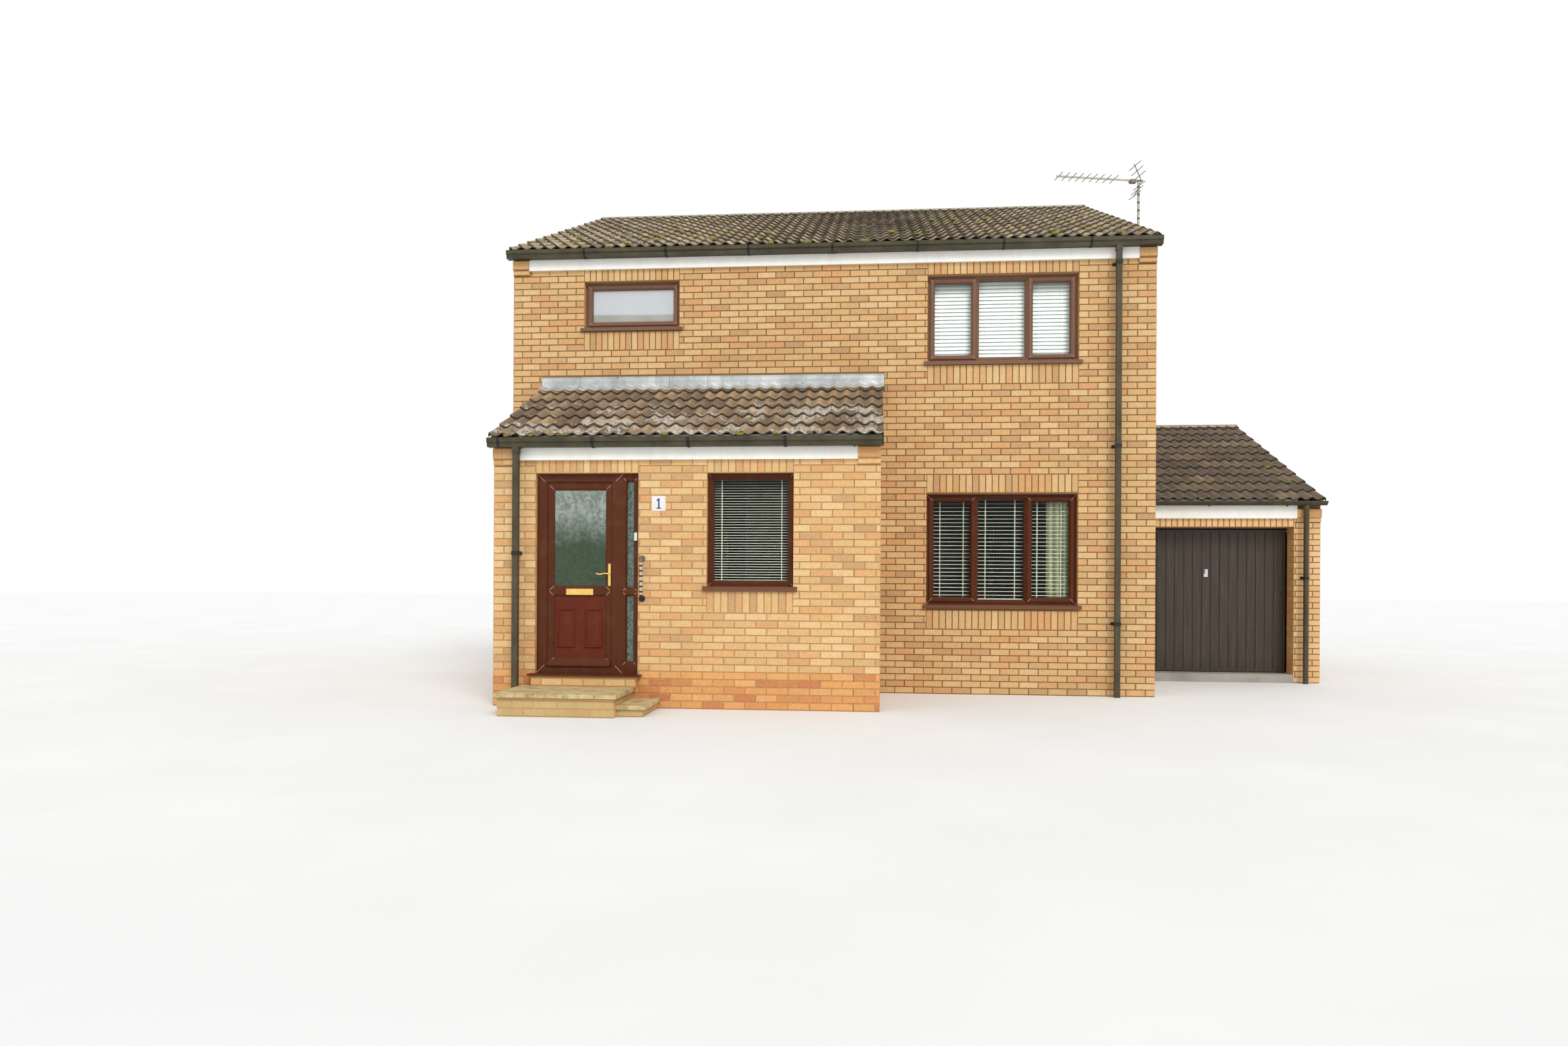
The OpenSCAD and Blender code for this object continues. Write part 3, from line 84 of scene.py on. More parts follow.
PORCH_KNEELER_L = 0.278
PORCH_KNEELER_R = 0.231
GARAGE_KNEELER = 0.309
COURSE = 0.07632
COURSE_START = 0.00208
BRICK = 0.223
SOLDIER = 0.0755
REVEAL = 0.070
FRAME_D = 0.070
FRAME = 0.046
MULLION = 0.034
SASH = 0.056
SASH_EDGE = 0.026
SASH_PROUD = 0.016
SILL_H = 0.046
STEP_Y = -0.807
DOOR_FRAME_Y = 0.050
HOUSE_BRACKETS = (0.158, 0.543, 0.939)
PORCH_BRACKET = 0.565
CLIP_X = 3.917
PORCH_CLIP_X = 1.090
MAST_OUT = 0.105
MAST_Y = 1.230
BOOM_Z = 6.490
BOOM_TURN = math.radians(12)

# Wall faces in the part's frame
FRONT = -HALF_D
PORCH_FRONT = FRONT - PORCH_D
PORCH_LEFT = PORCH_X - HALF_W
PORCH_RIGHT = PORCH_LEFT + PORCH_W
GARAGE_FRONT = FRONT + GARAGE_Y
GARAGE_RIGHT = GARAGE_X + GARAGE_W - HALF_W

# Openings as left, right, foot and head, measured along their own wall
UPPER_HEAD = 4.963
LOWER_HEAD = 2.368
PORCH_HEAD = 2.445
GARAGE_HEAD = 2.077
WINDOW_W = 1.760
WINDOW_SIDE = 0.880
UPPER = (UPPER_HEAD - 1.070, UPPER_HEAD)
LOWER = (LOWER_HEAD - 1.357, LOWER_HEAD)
WIDE = (HOUSE_W - WINDOW_SIDE - WINDOW_W, HOUSE_W - WINDOW_SIDE)
SMALL = (0.885, 0.885 + 1.177)
PORCH_WINDOW = (PORCH_W - 0.889 - 0.900, PORCH_W - 0.889)
DOOR = (0.452, 0.452 + 1.095)
GARAGE_DOOR = (0.209, 0.209 + 2.112)
UPPER_WIDE = WIDE + UPPER
LOWER_WIDE = WIDE + LOWER
UPPER_SMALL = SMALL + (UPPER_HEAD - 0.606, UPPER_HEAD)
PORCH_OPENING = PORCH_WINDOW + (PORCH_HEAD - 1.220, PORCH_HEAD)
REAR = [(x, x + WINDOW_W) for x in (WINDOW_SIDE, WIDE[0])]
REAR_WINDOWS = [along + span for along in REAR for span in (UPPER, LOWER)]


def measured_from(x0, y0, turned=1):
    """Points measured from a corner, itself given from the front left corner of the main block. They come
    out in the part's frame. turned is -1 for a face that looks to the rear."""
    def place(x, y, z):
        return (x0 + turned * x - HALF_W, y0 + turned * y - HALF_D, z)
    return place


at = measured_from(0, 0)
at_porch = measured_from(PORCH_X, -PORCH_D)
at_garage = measured_from(GARAGE_X, GARAGE_Y)
at_rear = measured_from(HOUSE_W, HOUSE_D, -1)
at_garage_rear = measured_from(GARAGE_X + GARAGE_W, HOUSE_D, -1)


def place_object(name, data):
    made = bpy.data.objects.new(name, data)
    bpy.context.scene.collection.objects.link(made)
    return made


# Camera
YAW = math.radians(4.976)
ROLL = 0.00549
right = Vector((math.cos(YAW), math.sin(YAW), 0))
forward = Vector((-math.sin(YAW), math.cos(YAW), 0))
up = Vector((0, 0, 1))
cam_right = (right + ROLL * up).normalized()
cam_up = (up - ROLL * right).normalized()
camera_data = bpy.data.cameras.new("camera")
camera = place_object("camera", camera_data)
turn = Matrix((cam_right, cam_up, -forward)).transposed()
camera.matrix_world = Matrix.Translation((0.5516, -16.1302, 1.3583)) @ turn.to_4x4()
camera_data.sensor_width = 36
camera_data.lens = 22.969
camera_data.shift_y = 0.03522
camera_data.clip_end = 500
bpy.context.scene.camera = camera
bpy.context.scene.view_settings.view_transform = "Standard"


# Materials
def screen(colour):
    """A colour given as 0 to 255 screen values."""
    def linear(v):
        v = v / 255
        return v / 12.92 if v <= 0.04045 else ((v + 0.055) / 1.055) ** 2.4
    return (*[linear(v) for v in colour], 1)


class Nodes:
    """Short calls for the nodes of one tree."""

    def __init__(self, tree):
        self.tree = tree

    def node(self, kind, inputs=None, **settings):
        made = self.tree.nodes.new(kind)
        for key, value in settings.items():
            setattr(made, key, value)
        for key, value in (inputs or {}).items():
            self.put(made.inputs[key], value)
        return made

    def put(self, socket, value):
        """Links a socket or sets its value. A colour of three numbers is in screen values."""
        if isinstance(value, bpy.types.NodeSocket):
            self.tree.links.new(value, socket)
        elif socket.type == "RGBA" and len(value) == 3:
            socket.default_value = screen(value)
        else:
            socket.default_value = value

    def math(self, kind, a, b=0.0, c=0.0, clamp=False):
        return self.node("ShaderNodeMath", {0: a, 1: b, 2: c}, operation=kind, use_clamp=clamp).outputs[0]

    def plus(self, a, b):
        return self.math("ADD", a, b)

    def minus(self, a, b):
        return self.math("SUBTRACT", a, b)

    def times(self, a, b, clamp=False):
        return self.math("MULTIPLY", a, b, clamp=clamp)

    def above(self, a, b):
        return self.math("GREATER_THAN", a, b)

    def below(self, a, b):
        return self.math("LESS_THAN", a, b)

    def size(self, a):
        return self.math("ABSOLUTE", a)

    def near(self, value, middle, width=0.002):
        return self.math("COMPARE", value, middle, width)

    def between(self, value, low, high):
        return self.near(value, (low + high) / 2, (high - low) / 2)

    def both(self, *masks):
        total = masks[0]
        for mask in masks[1:]:
            total = self.times(total, mask)
        return total

    def either(self, *masks):
        total = masks[0]
        for mask in masks[1:]:
            total = self.math("MAXIMUM", total, mask)
        return total

    def near_any(self, value, middles, width=0.002):
        return self.either(*[self.near(value, middle, width) for middle in middles])


class Finish(Nodes):
    """One procedural material in the part's own coordinates."""

    def __init__(self, name):
        self.material = bpy.data.materials.new(name)
        self.material.use_nodes = True
        super().__init__(self.material.node_tree)
        self.shader = self.tree.nodes["Principled BSDF"]
        self.place = self.node("ShaderNodeTexCoord").outputs["Object"]
        self.x, self.y, self.z = self.node("ShaderNodeSeparateXYZ", {0: self.place}).outputs

    def mix(self, share, a, b):
        made = self.node("ShaderNodeMix", data_type="RGBA", clamp_result=True)
        for key, value in ((0, share), (6, a), (7, b)):
            self.put(made.inputs[key], value)
        return made.outputs[2]

    def level(self, share, low, high):
        """0 below low, 1 above high."""
        made = self.node("ShaderNodeMapRange", {0: share, 1: low, 2: high, 3: 0.0, 4: 1.0}, clamp=True)
        return made.outputs[0]

    def fade(self, share, low, high, a, b):
        """From a to b while the share goes from low to high."""
        return self.mix(self.level(share, low, high), a, b)

    def paint(self, share, tint, strength=1.0):
        """Adds some of a tint to the finish's own colour."""
        if strength < 1:
            tint = self.mix(strength, self.colour, tint)
        self.colour = self.mix(share, self.colour, tint)

    def stain(self, share, low, high, strength, tint):
        self.paint(self.level(share, low, high), tint, strength)

    def stretched(self, x, y, z):
        scale = {0: self.place, 1: (x, y, z)}
        return self.node("ShaderNodeVectorMath", scale, operation="MULTIPLY").outputs[0]

    def noise(self, scale, detail=3.0, rough=0.55, vector=None, bend=0.0, output=0):
        made = self.node("ShaderNodeTexNoise", {"Vector": vector or self.place, "Scale": scale,
                                                "Detail": detail, "Roughness": rough, "Distortion": bend})
        return made.outputs[output]

    def streaks(self, x, y, z, detail=4, rough=0.65, bend=0.0):
        return self.noise(1.0, detail, rough, self.stretched(x, y, z), bend)

    def ramp(self, share, *stops):
        """Colours, or single grey values, at their positions."""
        made = self.node("ShaderNodeValToRGB", {0: share})
        band = made.color_ramp
        while len(band.elements) < len(stops):
            band.elements.new(0.5)
        for element, (position, value) in zip(band.elements, stops):
            element.position = position
            element.color = screen(value) if isinstance(value, tuple) else (value, value, value, 1)
        return made.outputs[0]

    def named(self, name):
        return self.node("ShaderNodeAttribute", attribute_name=name).outputs["Fac"]

    def done(self, rough, height, strength, distance, metal=0.0, specular=0.5, sheen=0.0):
        """The material, with its relief given as a height, a strength and a distance."""
        relief = self.node("ShaderNodeBump", {"Height": height, "Strength": strength, "Distance": distance})
        for key, value in (("Base Color", self.colour), ("Roughness", rough), ("Normal", relief.outputs[0]),
                           ("Metallic", metal), ("Specular IOR Level", specular), ("Sheen Weight", sheen)):
            self.put(self.shader.inputs[key], value)
        return self.material


PALE_JOINT = (190, 152, 102)
# Main-wall mortar: dark mortar together with painted shade for its raked joints.
DARK_MORTAR_AND_SHADE = (132, 98, 60)
BRICKS = ((0.0, (204, 167, 115)), (0.14, (215, 177, 120)), (0.3, (222, 184, 128)), (0.46, (227, 193, 141)),
          (0.6, (218, 179, 121)), (0.72, (221, 173, 116)), (0.84, (214, 160, 105)), (0.93, (200, 159, 113)),
          (1.0, (190, 150, 104)))


def brick_finish():
    f = Finish("buff_brick_faces")
    tint = f.named("tint")
    warm = f.ramp(tint, (0.0, (214, 146, 78)), (0.5, (226, 160, 92)), (1.0, (190, 106, 58)))
    f.colour = f.mix(f.named("tone"), f.ramp(tint, *BRICKS), warm)
    cloud = f.noise(26, 4, 0.6)
    f.stain(cloud, 0.72, 0.35, 0.26, (176, 124, 72))
    f.stain(f.noise(240, 3, 0.7), 0.6, 0.72, 0.44, (128, 86, 50))
    f.stain(f.noise(90, 3, 0.6), 0.54, 0.74, 0.4, (244, 218, 174))
    # Partly dirt, partly painted shade: every wall but the porch's is darkened a little against the sunlit
    # porch.
    f.paint(f.above(f.y, FRONT - 0.1), (150, 116, 70), 0.13)
    # Painted light: the garage's front wall is brightened to make up for the house's shadow on it.
    garage_front_painted_light = f.both(f.above(f.x, HALF_W + 0.01), f.near(f.y, GARAGE_FRONT, 0.02), 0.35)
    f.paint(garage_front_painted_light, (244, 200, 146))
    f.paint(f.both(f.below(f.y, PORCH_FRONT - 0.2), 0.55), (166, 150, 102))
    f.stain(f.noise(0.9, 4, 0.6), 0.52, 0.75, 0.22, (150, 118, 76))
    f.stain(f.streaks(9, 9, 0.6, 3, 0.6), 0.6, 0.8, 0.16, (120, 92, 60))
    grain = f.plus(f.noise(420, 3, 0.7), f.times(f.noise(70, 3, 0.6), 0.8))
    return f.done(f.ramp(cloud, (0.3, 0.93), (0.7, 0.84)), grain, 0.55, 0.0015)


def wall_finish():
    """The CAD walls: mortar behind the brick faces, coursed brick in the reveals, and plaster indoors painted
    dark as the shade of unlit rooms.
    """
    f = Finish("wall_masonry")
    mortar = f.either(
        f.near_any(f.y, (FRONT, HALF_D, PORCH_FRONT, GARAGE_FRONT, FRONT - KNEELER_STEP,
                         FRONT - 2 * KNEELER_STEP, PORCH_FRONT - 0.105)),
        f.near_any(f.x, (-HALF_W, HALF_W, PORCH_LEFT, PORCH_RIGHT, GARAGE_RIGHT)))
    porch_back = f.both(f.near(f.y, FRONT), f.between(f.x, PORCH_LEFT + 0.2, PORCH_RIGHT - 0.2),
                        f.between(f.z, 0.0, 3.4))
    plaster = f.either(
        f.near_any(f.y, (FRONT + WALL_T, HALF_D - WALL_T, PORCH_FRONT + WALL_T)),
        f.near_any(f.x, (WALL_T - HALF_W, HALF_W - WALL_T, PORCH_LEFT + WALL_T, PORCH_RIGHT - WALL_T)),
        porch_back)
    flat = f.node("ShaderNodeCombineXYZ", {0: f.plus(f.x, f.y), 1: f.minus(f.z, COURSE_START)}).outputs[0]
    bond, joints = f.node("ShaderNodeTexBrick", {
        "Vector": flat, "Color1": (226, 180, 120), "Color2": (205, 148, 92), "Mortar": PALE_JOINT,
        "Scale": 1.0, "Mortar Size": 0.005, "Mortar Smooth": 0.1, "Bias": -0.1, "Brick Width": BRICK,
        "Row Height": COURSE}).outputs
    coursed = f.fade(f.noise(30, 4, 0.6), 0.4, 0.75, f.mix(0.2, bond, (160, 112, 66)), bond)
    # Darker mortar on the main walls, partly painted shade in the raked joints; paler mortar in the porch.
    f.colour = f.mix(f.below(f.y, FRONT - 0.1), DARK_MORTAR_AND_SHADE, PALE_JOINT)
    f.stain(f.noise(60, 4, 0.65), 0.7, 0.35, 0.4, (104, 78, 48))
    f.stain(f.noise(2.2, 3, 0.6), 0.5, 0.72, 0.35, (140, 106, 68))
    f.colour = f.mix(mortar, coursed, f.colour)
    # Painted shade: the plaster is dark as in unlit rooms, and darker still in the house's own rooms.
    shaded_plaster = f.fade(f.noise(3, 3, 0.5), 0.4, 0.7, (86, 76, 61), (98, 87, 70))
    rooms = f.both(f.above(f.y, FRONT + 0.1), f.below(f.x, HALF_W))
    shaded_plaster = f.mix(rooms, shaded_plaster, f.mix(f.noise(3), (42, 35, 26), (54, 46, 35)))
    f.paint(plaster, shaded_plaster)
    grit = f.plus(f.noise(500, 3, 0.7), f.times(joints, -2.0))
    return f.done(0.92, grit, 0.35, 0.002)


def tile_finish(name, base, lichen_share, moss_share, dots, low_lichen=None):
    """Concrete pantiles with painted shade in the troughs and on the noses. dots is the share of small pale
    spots of lichen.
    """
    f = Finish(name)
    f.colour = f.ramp(f.named("tint"), *zip((0.0, 0.35, 0.7, 1.0), base))
    f.stain(f.noise(9, 5, 0.6), 0.4, 0.7, 0.55, base[0])
    grain = f.noise(300, 3, 0.7)
    f.stain(grain, 0.5, 0.7, 0.3, (150, 138, 120))
    # Painted shade in the troughs of the pans.
    f.paint(f.times(f.named("pan"), 0.62), (44, 37, 29), 0.7)
    amount = f.times(f.level(f.noise(2.4, 4, 0.6), 0.28, 0.55), lichen_share)
    if low_lichen is not None:
        lowest, highest = low_lichen
        amount = f.times(amount, f.plus(f.times(f.level(f.z, highest, lowest), 0.85), 0.15))
    crust = f.noise(30, 6, 0.72, bend=0.4)
    spots = f.times(f.minus(crust, f.minus(0.8, f.times(amount, 0.36))), 26, clamp=True)
    f.paint(spots, f.fade(f.noise(120), 0.4, 0.6, (206, 196, 180), (168, 158, 142)))
    swirl = f.noise(30, 2, 0.5, output=1)
    warped = f.node("ShaderNodeVectorMath", {0: f.place, 1: swirl, 2: (0.03, 0.03, 0.03)},
                    operation="MULTIPLY_ADD").outputs[0]
    distance, cell = f.node("ShaderNodeTexVoronoi", {"Vector": warped, "Scale": 10}).outputs[:2]
    chance = f.node("ShaderNodeSeparateColor", {0: cell}).outputs[0]
    dot = f.both(f.below(distance, f.times(chance, 0.42)), f.above(chance, 1.0 - dots))
    f.paint(dot, (222, 214, 198))
    lip = f.named("lip")
    bed = f.level(f.streaks(1.7, 1.7, 2.89, 4, 0.6), 0.36, 0.66)
    edge = f.minus(f.minus(0.86, f.times(bed, moss_share)), f.times(lip, 0.05))
    moss = f.times(f.minus(f.noise(22, 5, 0.75, bend=0.4), edge), 14, clamp=True)
    f.paint(moss, f.fade(f.noise(50), 0.4, 0.65, (112, 106, 44), (164, 150, 66)))
    # Painted shade on the tile noses.
    f.paint(f.times(lip, 0.92), (34, 28, 22), 0.85)
    height = f.plus(f.times(moss, 2.5), f.plus(f.times(spots, 0.6), f.times(grain, 0.5)))
    return f.done(0.93, height, 0.6, 0.004)


def ridge_finish():
    f = Finish("ridge_concrete")
    cloud = f.noise(6, 5, 0.6)
    f.colour = f.ramp(cloud, (0.35, (132, 124, 104)), (0.55, (156, 150, 128)), (0.75, (176, 170, 150)))
    f.paint(f.level(f.noise(40, 5, 0.7), 0.58, 0.66), (196, 190, 172))
    moss = f.level(f.noise(8, 5, 0.7), 0.6, 0.7)
    f.paint(moss, (124, 120, 62))
    return f.done(0.92, f.plus(f.noise(240), moss), 0.5, 0.003)


def grain_finish(name, dark, light, rough):
    """Brown plastic with a printed wood grain that runs along each member."""
    f = Finish(name)
    tall = f.streaks(120, 60, 3.2, 5, 0.62, 0.3)
    wide = f.streaks(3.2, 60, 120, 5, 0.62, 0.3)
    normal = f.node("ShaderNodeNewGeometry").outputs["True Normal"]
    lean = f.size(f.node("ShaderNodeSeparateXYZ", {0: normal}).outputs[2])
    figure = f.fade(lean, 0.2, 0.6, tall, f.plus(f.times(wide, 0.5), f.times(tall, 0.5)))
    f.colour = f.ramp(figure, (0.3, dark), (0.5, light), (0.7, dark))
    f.paint(0.45, f.mix(0.5, dark, light))
    panel = f.both(f.between(f.x, PORCH_LEFT + 0.64, PORCH_LEFT + 1.173), f.between(f.z, 0.515, 1.155),
                   f.between(f.y, PORCH_FRONT + 0.076, PORCH_FRONT + 0.1), 0.6)
    f.paint(panel, f.mix(figure, (92, 26, 12), (110, 38, 20)))
    # Painted highlight along the fronts of the lower sills.
    sill_highlight = f.near_any(f.z, [foot + SILL_H / 2 for foot in (LOWER[0], PORCH_OPENING[2])], 0.024)
    fore = f.either(f.between(f.y, FRONT - 0.2, FRONT + 0.02), f.below(f.y, PORCH_FRONT + 0.02))
    f.paint(f.both(sill_highlight, fore, 0.6), (124, 88, 68))
    f.stain(f.noise(5, 4, 0.6), 0.5, 0.8, 0.12, (140, 108, 84))
    return f.done(f.ramp(f.noise(14), (0.3, rough - 0.06), (0.7, rough + 0.08)),
                  figure, 0.18, 0.0006, specular=0.15)


def plastic_finish(name, colour_a, colour_b, rough, dirt, dirt_share, scale=5):
    f = Finish(name)
    f.colour = f.fade(f.noise(scale, 4, 0.6), 0.35, 0.7, colour_a, colour_b)
    f.stain(f.streaks(11, 11, 2.5), 0.48, 0.8, dirt_share, dirt)
    return f.done(f.ramp(f.noise(scale * 3), (0.3, rough - 0.05), (0.7, rough + 0.08)),
                  f.noise(160, 3, 0.6), 0.12, 0.0006)


def blind_finish():
    """Near-white slats above and duller cream slats below."""
    f = Finish("blind_slats")
    f.colour = f.mix(f.noise(5), (232, 234, 231), (240, 241, 238))
    f.paint(f.below(f.z, 3.5), f.mix(f.noise(5), (206, 204, 186), (226, 224, 206)))
    return f.done(0.5, f.noise(160, 3, 0.6), 0.1, 0.0005, specular=0.25)


def lead_finish():
    f = Finish("lead_sheet")
    cloud = f.noise(3.2, 5, 0.65)
    f.colour = f.ramp(cloud, (0.3, (150, 154, 154)), (0.5, (180, 183, 181)), (0.7, (202, 204, 200)))
    f.paint(f.level(f.streaks(22, 22, 2.0, 4, 0.7), 0.52, 0.75), (158, 160, 156))
    f.paint(f.level(f.noise(16, 5, 0.7), 0.64, 0.72), (112, 112, 106))
    laps = f.near_any(f.x, (-1.9, -1.43, -3.0), 0.004)
    f.paint(f.times(laps, 0.6), (96, 100, 104))
    return f.done(f.ramp(cloud, (0.3, 0.62), (0.7, 0.48)), f.minus(f.noise(12, 4), laps), 0.35, 0.004, 0.35)


def window_glass_finish():
    """Clear panes to the front. The single upper window and the side light have patterned glass. The rear
    panes are an opaque dark sheet, painted shade for the unlit rooms.
    """
    f = Finish("window_panes")
    f.shader.inputs["IOR"].default_value = 1.2
    bath = f.both(f.between(f.x, -3.0, -1.7), f.between(f.y, -4.3, -3.9), f.between(f.z, 4.2, 5.0))
    f.colour = f.fade(f.plus(f.z, f.times(f.noise(3), 0.02)), 4.575, 4.6, (160, 160, 150), (196, 200, 204))
    f.stain(f.noise(4, 3, 0.5), 0.3, 0.8, 0.25, (220, 220, 222))
    f.colour = f.mix(bath, (247, 251, 249), f.colour)
    side = f.both(f.between(f.x, -2.05, -1.85), f.below(f.y, -5.6))
    leaf = f.level(f.noise(13, 4, 0.6, bend=2.5), 0.36, 0.64)
    # Painted shade: the rear panes are an opaque dark sheet standing for the unlit rooms seen through the
    # house.
    rear_painted_shade = f.above(f.y, HALF_D - 0.4)
    f.paint(side, f.mix(leaf, (74, 90, 78), (132, 146, 136)))
    f.paint(rear_painted_shade, f.fade(f.noise(1.5), 0.3, 0.7, (44, 52, 52), (70, 80, 80)))
    shut = f.either(f.times(f.either(bath, f.times(side, 0.8)), 0.9), rear_painted_shade)
    f.put(f.shader.inputs["Transmission Weight"], f.minus(1.0, shut))
    frost = f.either(bath, f.times(side, 0.5))
    rough = f.plus(f.ramp(f.noise(2.5, 3, 0.6), (0.3, 0.015), (0.7, 0.04)), f.times(frost, 0.3))
    relief = f.plus(f.times(f.noise(140), bath), f.times(leaf, side))
    ripple = f.plus(f.times(f.noise(2.2, 2, 0.4), 0.3), relief)
    f.done(rough, ripple, 0.08, 0.002)
    clear = f.node("ShaderNodeBsdfTransparent", {0: (250, 252, 251)}).outputs[0]
    shadow = f.node("ShaderNodeLightPath").outputs["Is Shadow Ray"]
    blend = f.node("ShaderNodeMixShader", {0: shadow, 1: f.shader.outputs[0], 2: clear})
    f.put(f.tree.nodes["Material Output"].inputs["Surface"], blend.outputs[0])
    return f.material


def door_glass_finish():
    """Patterned door glass with a leaf-like relief, coloured with a painted reflection: green low down, pale
    sky at the top.
    """
    f = Finish("door_glass")
    f.shader.inputs["IOR"].default_value = 1.45
    f.shader.inputs["Transmission Weight"].default_value = 0.35
    leaf = f.level(f.noise(8, 3, 0.55, bend=3.0), 0.4, 0.6)
    height = f.plus(f.z, f.times(f.noise(2.0, 4, 0.6), 0.5))
    # Painted reflection: a green hill low on the glass and pale sky near its top, darker between the leaves.
    f.colour = f.fade(height, 1.95, 2.25, (66, 88, 58), (172, 184, 174))
    f.paint(f.minus(1.0, leaf), (40, 58, 40), 0.5)
    return f.done(0.16, leaf, 0.5, 0.003)


def slab_finish():
    f = Finish("step_slabs")
    cloud = f.noise(7, 5, 0.62)
    f.colour = f.ramp(cloud, (0.3, (152, 132, 90)), (0.5, (192, 170, 120)), (0.72, (214, 194, 146)))
    f.stain(f.noise(11, 5, 0.7), 0.56, 0.68, 0.6, (104, 108, 62))
    grit = f.noise(320, 3, 0.7)
    f.stain(grit, 0.56, 0.7, 0.4, (92, 82, 64))
    return f.done(0.92, f.plus(grit, f.times(cloud, 2.0)), 0.5, 0.003)


def concrete_finish(name, low, high):
    f = Finish(name)
    f.colour = f.ramp(f.noise(2.5, 5, 0.6), (0.3, low), (0.7, high))
    grit = f.noise(260, 3, 0.7)
    f.stain(grit, 0.6, 0.75, 0.3, low)
    return f.done(0.85, grit, 0.25, 0.001)


def board_finish():
    """Floor boards above, a plastered ceiling below, painted dark as the shade of an unlit room."""
    f = Finish("floor_boards")
    grain = f.streaks(40, 3, 40, 5, 0.6, 0.4)
    f.colour = f.ramp(grain, (0.3, (136, 100, 62)), (0.55, (178, 138, 92)), (0.75, (150, 112, 72)))
    gap = f.below(f.math("FRACT", f.math("DIVIDE", f.x, 0.14)), 0.03)
    f.paint(gap, (62, 44, 28))
    # Painted shade: the ceiling is dark as in an unlit room.
    f.paint(f.below(f.z, 2.93), f.mix(f.noise(3), (60, 54, 44), (76, 69, 57)))
    return f.done(0.55, f.minus(grain, gap), 0.3, 0.001)


def door_panel_finish():
    """Dark brown paint on ribbed steel, faded and chalky in places."""
    f = Finish("garage_door_paint")
    runs = f.streaks(26, 26, 1.4, 5)
    f.colour = f.ramp(runs, (0.3, (41, 31, 20)), (0.55, (57, 45, 31)), (0.8, (79, 65, 46)))
    dust = f.noise(30, 4, 0.6)
    f.stain(dust, 0.55, 0.8, 0.25, (120, 108, 92))
    return f.done(f.ramp(dust, (0.3, 0.42), (0.7, 0.6)), f.noise(90), 0.15, 0.0008)


def marked_plastic(f, base, film, dirt, marks, mark, rough):
    """Dull plastic with a film of dirt, and marks in a darker colour."""
    f.colour = f.fade(f.noise(5, 4, 0.6), 0.35, 0.7, *base)
    f.stain(film, 0.48, 0.8, 0.4, dirt)
    f.paint(marks, mark)
    return f.done(rough, f.noise(160, 3, 0.6), 0.12, 0.0006, specular=0.3)


def pipe_finish():
    """Grey-brown pipes with darker collars at their brackets."""
    f = Finish("downpipe_plastic")
    house = f.both(f.near_any(f.z, [share * EAVES for share in HOUSE_BRACKETS], 0.0225),
                   f.above(f.size(f.y), HALF_D), f.above(f.y, FRONT - 0.5))
    porch = f.both(f.near(f.z, PORCH_BRACKET * PORCH_EAVES, 0.0225), f.below(f.y, FRONT - 0.5))
    garage = f.both(f.near(f.z, 1.4, 0.0155), f.above(f.x, HALF_W))
    return marked_plastic(f, ((60, 53, 38), (78, 69, 51)), f.streaks(11, 11, 2.5), (112, 100, 78),
                          f.either(house, porch, garage), (40, 35, 28), 0.5)


def gutter_finish():
    """Dark gutters with darker clips."""
    f = Finish("gutter_plastic")
    clips = []
    for first, low, high in ((CLIP_X - HALF_W, FRONT - 0.3, FRONT), (HALF_W - CLIP_X, HALF_D, HALF_D + 0.3),
                             (PORCH_LEFT + PORCH_CLIP_X, PORCH_FRONT - 0.3, PORCH_FRONT)):
        along = f.math("FRACT", f.plus(f.minus(f.x, first), 20.016))
        clips.append(f.both(f.below(along, 0.032), f.between(f.y, low, high)))
    return marked_plastic(f, ((54, 50, 33), (74, 68, 46)), f.streaks(2.5, 11, 11), (104, 98, 78),
                          f.either(*clips), (30, 28, 21), 0.48)


def aerial_finish():
    """Pale mast with dark bands of tape, dark cross rods, and a weathered box and clamp."""
    f = Finish("aerial_metal")
    x = f.minus(f.x, HALF_W + MAST_OUT)
    y = f.minus(f.y, MAST_Y - HALF_D)
    z = f.minus(f.z, BOOM_Z)
    c, s = math.cos(BOOM_TURN), math.sin(BOOM_TURN)
    along = f.plus(f.times(x, c), f.times(y, s))
    aside = f.size(f.minus(f.times(y, c), f.times(x, s)))
    pale = f.fade(f.noise(40, 4), 0.4, 0.7, (186, 180, 170), (160, 154, 146))
    worn = f.fade(f.noise(60, 4), 0.4, 0.7, (128, 112, 96), (98, 86, 74))
    boom = f.both(f.below(aside, 0.011), f.below(f.size(z), 0.011))
    box = f.both(f.near(along, -0.08, 0.041), f.near(z, -0.014, 0.0215), f.below(aside, 0.031))
    clamp = f.both(f.above(along, -0.025), boom)
    mast = f.both(f.below(z, -0.0095), f.near(x, 0.0, 0.018), f.near(y, 0.0, 0.018))
    tape = f.below(f.math("FRACT", f.math("DIVIDE", f.minus(-0.071, z), 0.1013)), 0.22)
    f.colour = f.mix(boom, (54, 50, 47), pale)
    f.paint(mast, f.mix(tape, pale, (38, 34, 32)))
    f.paint(f.either(box, clamp), worn)
    return f.done(0.5, f.noise(300, 2), 0.08, 0.0004, f.times(boom, 0.3))


def metal_finish(name, colour_a, colour_b, rough, metal):
    f = Finish(name)
    f.colour = f.fade(f.noise(30, 4, 0.6), 0.4, 0.7, colour_a, colour_b)
    return f.done(f.ramp(f.noise(60), (0.3, rough - 0.06), (0.7, rough + 0.1)),
                  f.noise(360, 2), 0.08, 0.0004, metal)


